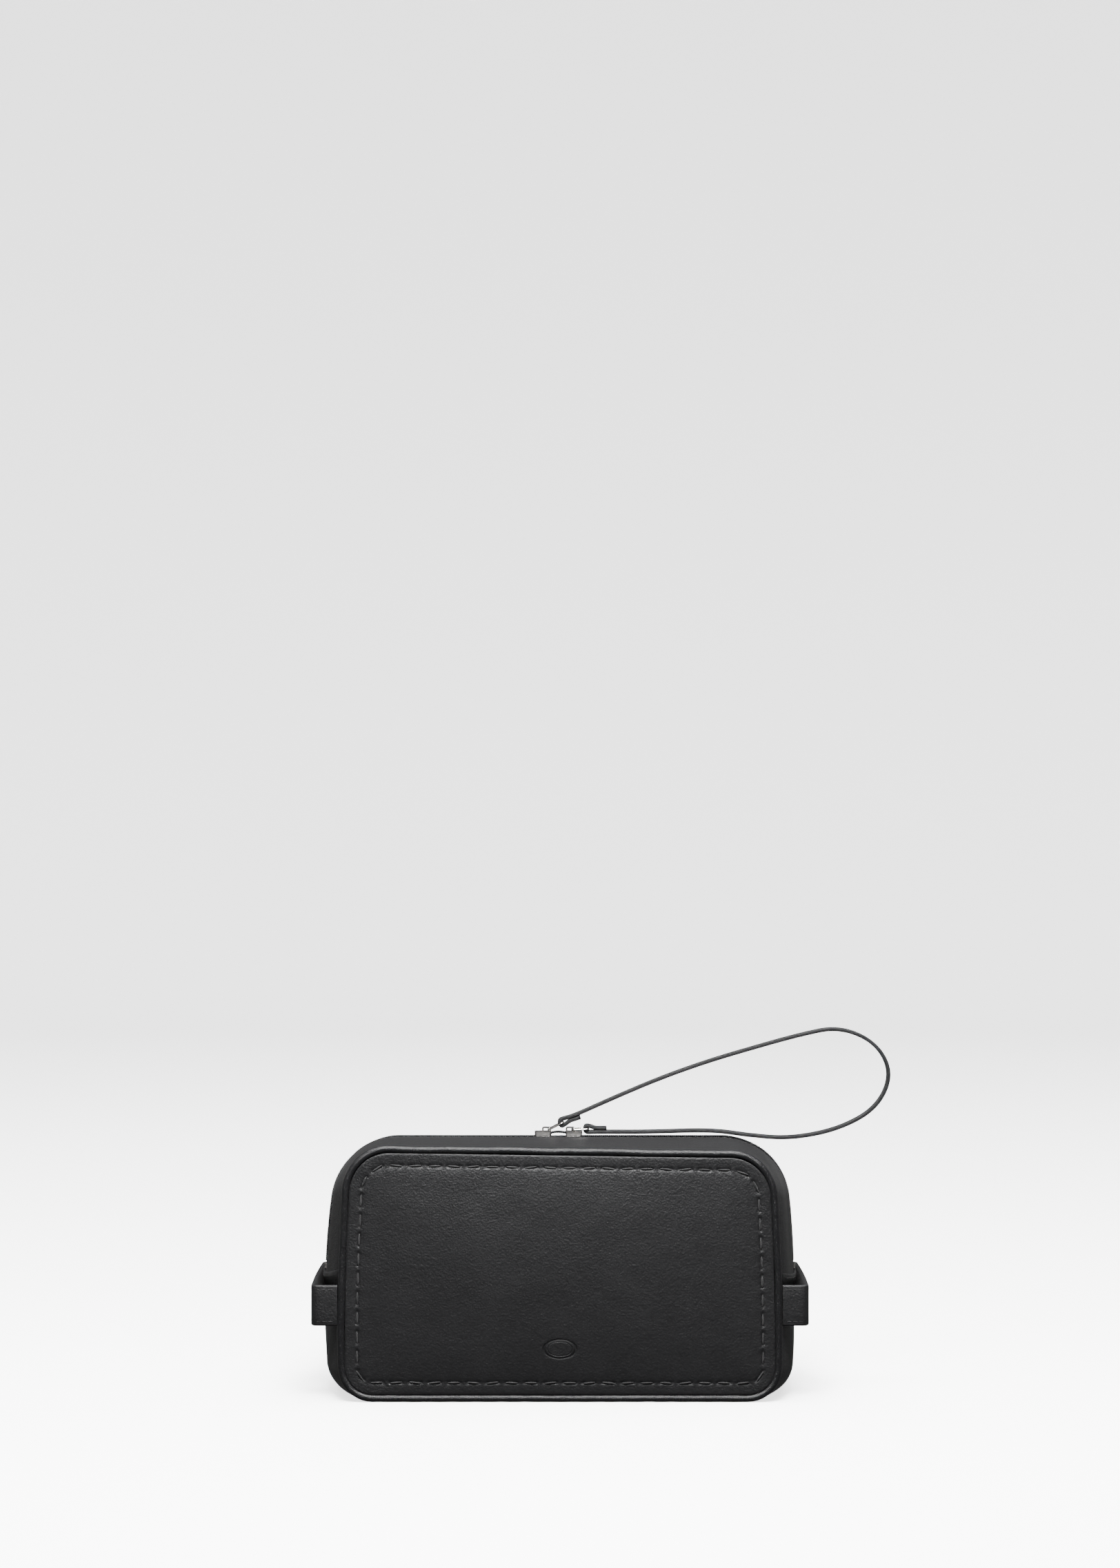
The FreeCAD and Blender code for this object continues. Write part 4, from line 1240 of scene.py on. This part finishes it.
def make_stage():
    """Floor, soft studio lights, a pale surround and the camera."""
    floor = make_floor()
    paper = bpy.data.collections.new("paper only")
    paper.objects.link(floor)
    centre = (0.02, 0, 0.1)
    add_light("paper light", (0, 0.0, 3.2), (0, 0.0, 0), (4.0, 4.0), 520, paper)
    add_light("overhead", (0.05, -0.12, 1.3), centre, (0.8, 0.25), 23)
    add_light("front window", (0.0, -0.62, 0.84), (0, 0, 0.13), (0.36, 0.3), 31)
    add_light("left window", (-1.6, -0.4, 0.9), centre, (0.9, 1.2), 0.35)
    add_light("right window", (1.6, -0.4, 0.9), centre, (0.9, 1.2), 0.35)
    world = bpy.data.worlds.new("surround")
    world.use_nodes = True
    sky = world.node_tree.nodes["Background"]
    sky.inputs["Color"].default_value = (1, 1, 1, 1)
    sky.inputs["Strength"].default_value = 0.15
    bpy.context.scene.world = world
    lens = bpy.data.cameras.new("camera")
    lens.lens = 85.2
    lens.sensor_width = 36
    camera = bpy.data.objects.new("camera", lens)
    camera.location = (0, -2.05, 0.3331)
    camera.rotation_euler = (math.pi / 2, 0, 0)
    bpy.context.collection.objects.link(camera)
    bpy.context.scene.camera = camera


# ---- Operators and panel ----


def operator(key, label, words, make):
    """An operator class that makes one piece or group of like pieces."""

    class Maker(bpy.types.Operator):
        bl_idname = f"makeup_bag.{key}"
        bl_label = label
        bl_options = {"REGISTER", "UNDO"}

        def execute(self, context):
            make()
            return {"FINISHED"}

    Maker.__doc__ = words
    Maker.__name__ = f"MAKEUP_BAG_OT_{key}"
    return Maker


def both(make):
    """Make a piece for the front and for the back."""
    return lambda: [make(side) for side in FACING]


def both_seeded(make):
    """The same for a piece that is uneven in its own way on each side."""
    return lambda: [make(side, seed) for seed, side in enumerate(FACING, start=1)]


def left_and_right(make):
    """Make a piece for the left and for the right."""
    return lambda: [make(side) for side in ("left", "right")]


OPERATORS = [
    operator("stage", "Stage", "Floor, lights and camera", make_stage),
    operator("panels", "Padded Panels", "The front and back panels", both_seeded(make_panel)),
    operator("piping", "Piping", "Leather piping round both panels", both_seeded(make_piping)),
    operator("base", "Base Gusset", "The leather under the bag and up its sides", make_base_gusset),
    operator("strips", "Zip Strips", "The leather on both sides of the zip", both(make_zip_strip)),
    operator("tapes", "Zip Tapes", "The zip's woven tapes", both(make_zip_tape)),
    operator("coils", "Zip Coils", "The zip's nylon coils", both(make_coil)),
    operator("lining", "Lining", "The lining of the gusset", make_base_lining),
    operator("strip_lining", "Strip Lining", "The lining under the zip strips", both(make_strip_lining)),
    operator(
        "panel_lining", "Panel Lining", "The lining behind the panels", both_seeded(make_panel_lining)
    ),
    operator(
        "hand_stitches", "Hand Stitches", "Running stitches on both panels", both_seeded(make_hand_stitches)
    ),
    operator("zip_stitches", "Zip Stitches", "Stitches beside the zip", both(make_zip_stitches)),
    operator("seam_stitches", "Seam Stitches", "Stitches beside the piping", both(make_seam_stitches)),
    operator(
        "lap_stitches", "Lap Stitches", "Stitches along the lapped edges", left_and_right(make_lap_stitches)
    ),
    operator("handles", "Side Handles", "The two flat handles", left_and_right(make_handle)),
    operator("strap", "Wrist Strap", "The thin strap tied to both sliders", make_strap),
    operator("hardware", "Hardware", "Finishes of the sliders, links, stops and board", finish_hardware),
]


class MAKEUP_BAG_PT_pieces(bpy.types.Panel):
    """Lists the bag's pieces in the sidebar."""

    bl_label = "Makeup Bag"
    bl_idname = "MAKEUP_BAG_PT_pieces"
    bl_space_type = "VIEW_3D"
    bl_region_type = "UI"
    bl_category = "Makeup Bag"

    def draw(self, context):
        column = self.layout.column(align=True)
        for group in (context.scene.bag_sizes, context.scene.bag_colours):
            for key in group.__annotations__:
                column.prop(group, key)
        for maker in OPERATORS:
            column.operator(maker.bl_idname)


CLASSES = [BagSizes, BagColours, *OPERATORS, MAKEUP_BAG_PT_pieces]


def register():
    """Register the classes and the scene's settings."""
    for item in CLASSES:
        bpy.utils.register_class(item)
    bpy.types.Scene.bag_sizes = bpy.props.PointerProperty(type=BagSizes)
    bpy.types.Scene.bag_colours = bpy.props.PointerProperty(type=BagColours)


def unregister():
    """Take the settings and classes away again."""
    del bpy.types.Scene.bag_colours
    del bpy.types.Scene.bag_sizes
    for item in reversed(CLASSES):
        bpy.utils.unregister_class(item)


def main():
    """Make every piece in order, and write the CAD's box and the finished one."""
    register()
    for maker in OPERATORS:
        group, key = maker.bl_idname.split(".")
        getattr(getattr(bpy.ops, group), key)()


if __name__ == "__main__":
    main()
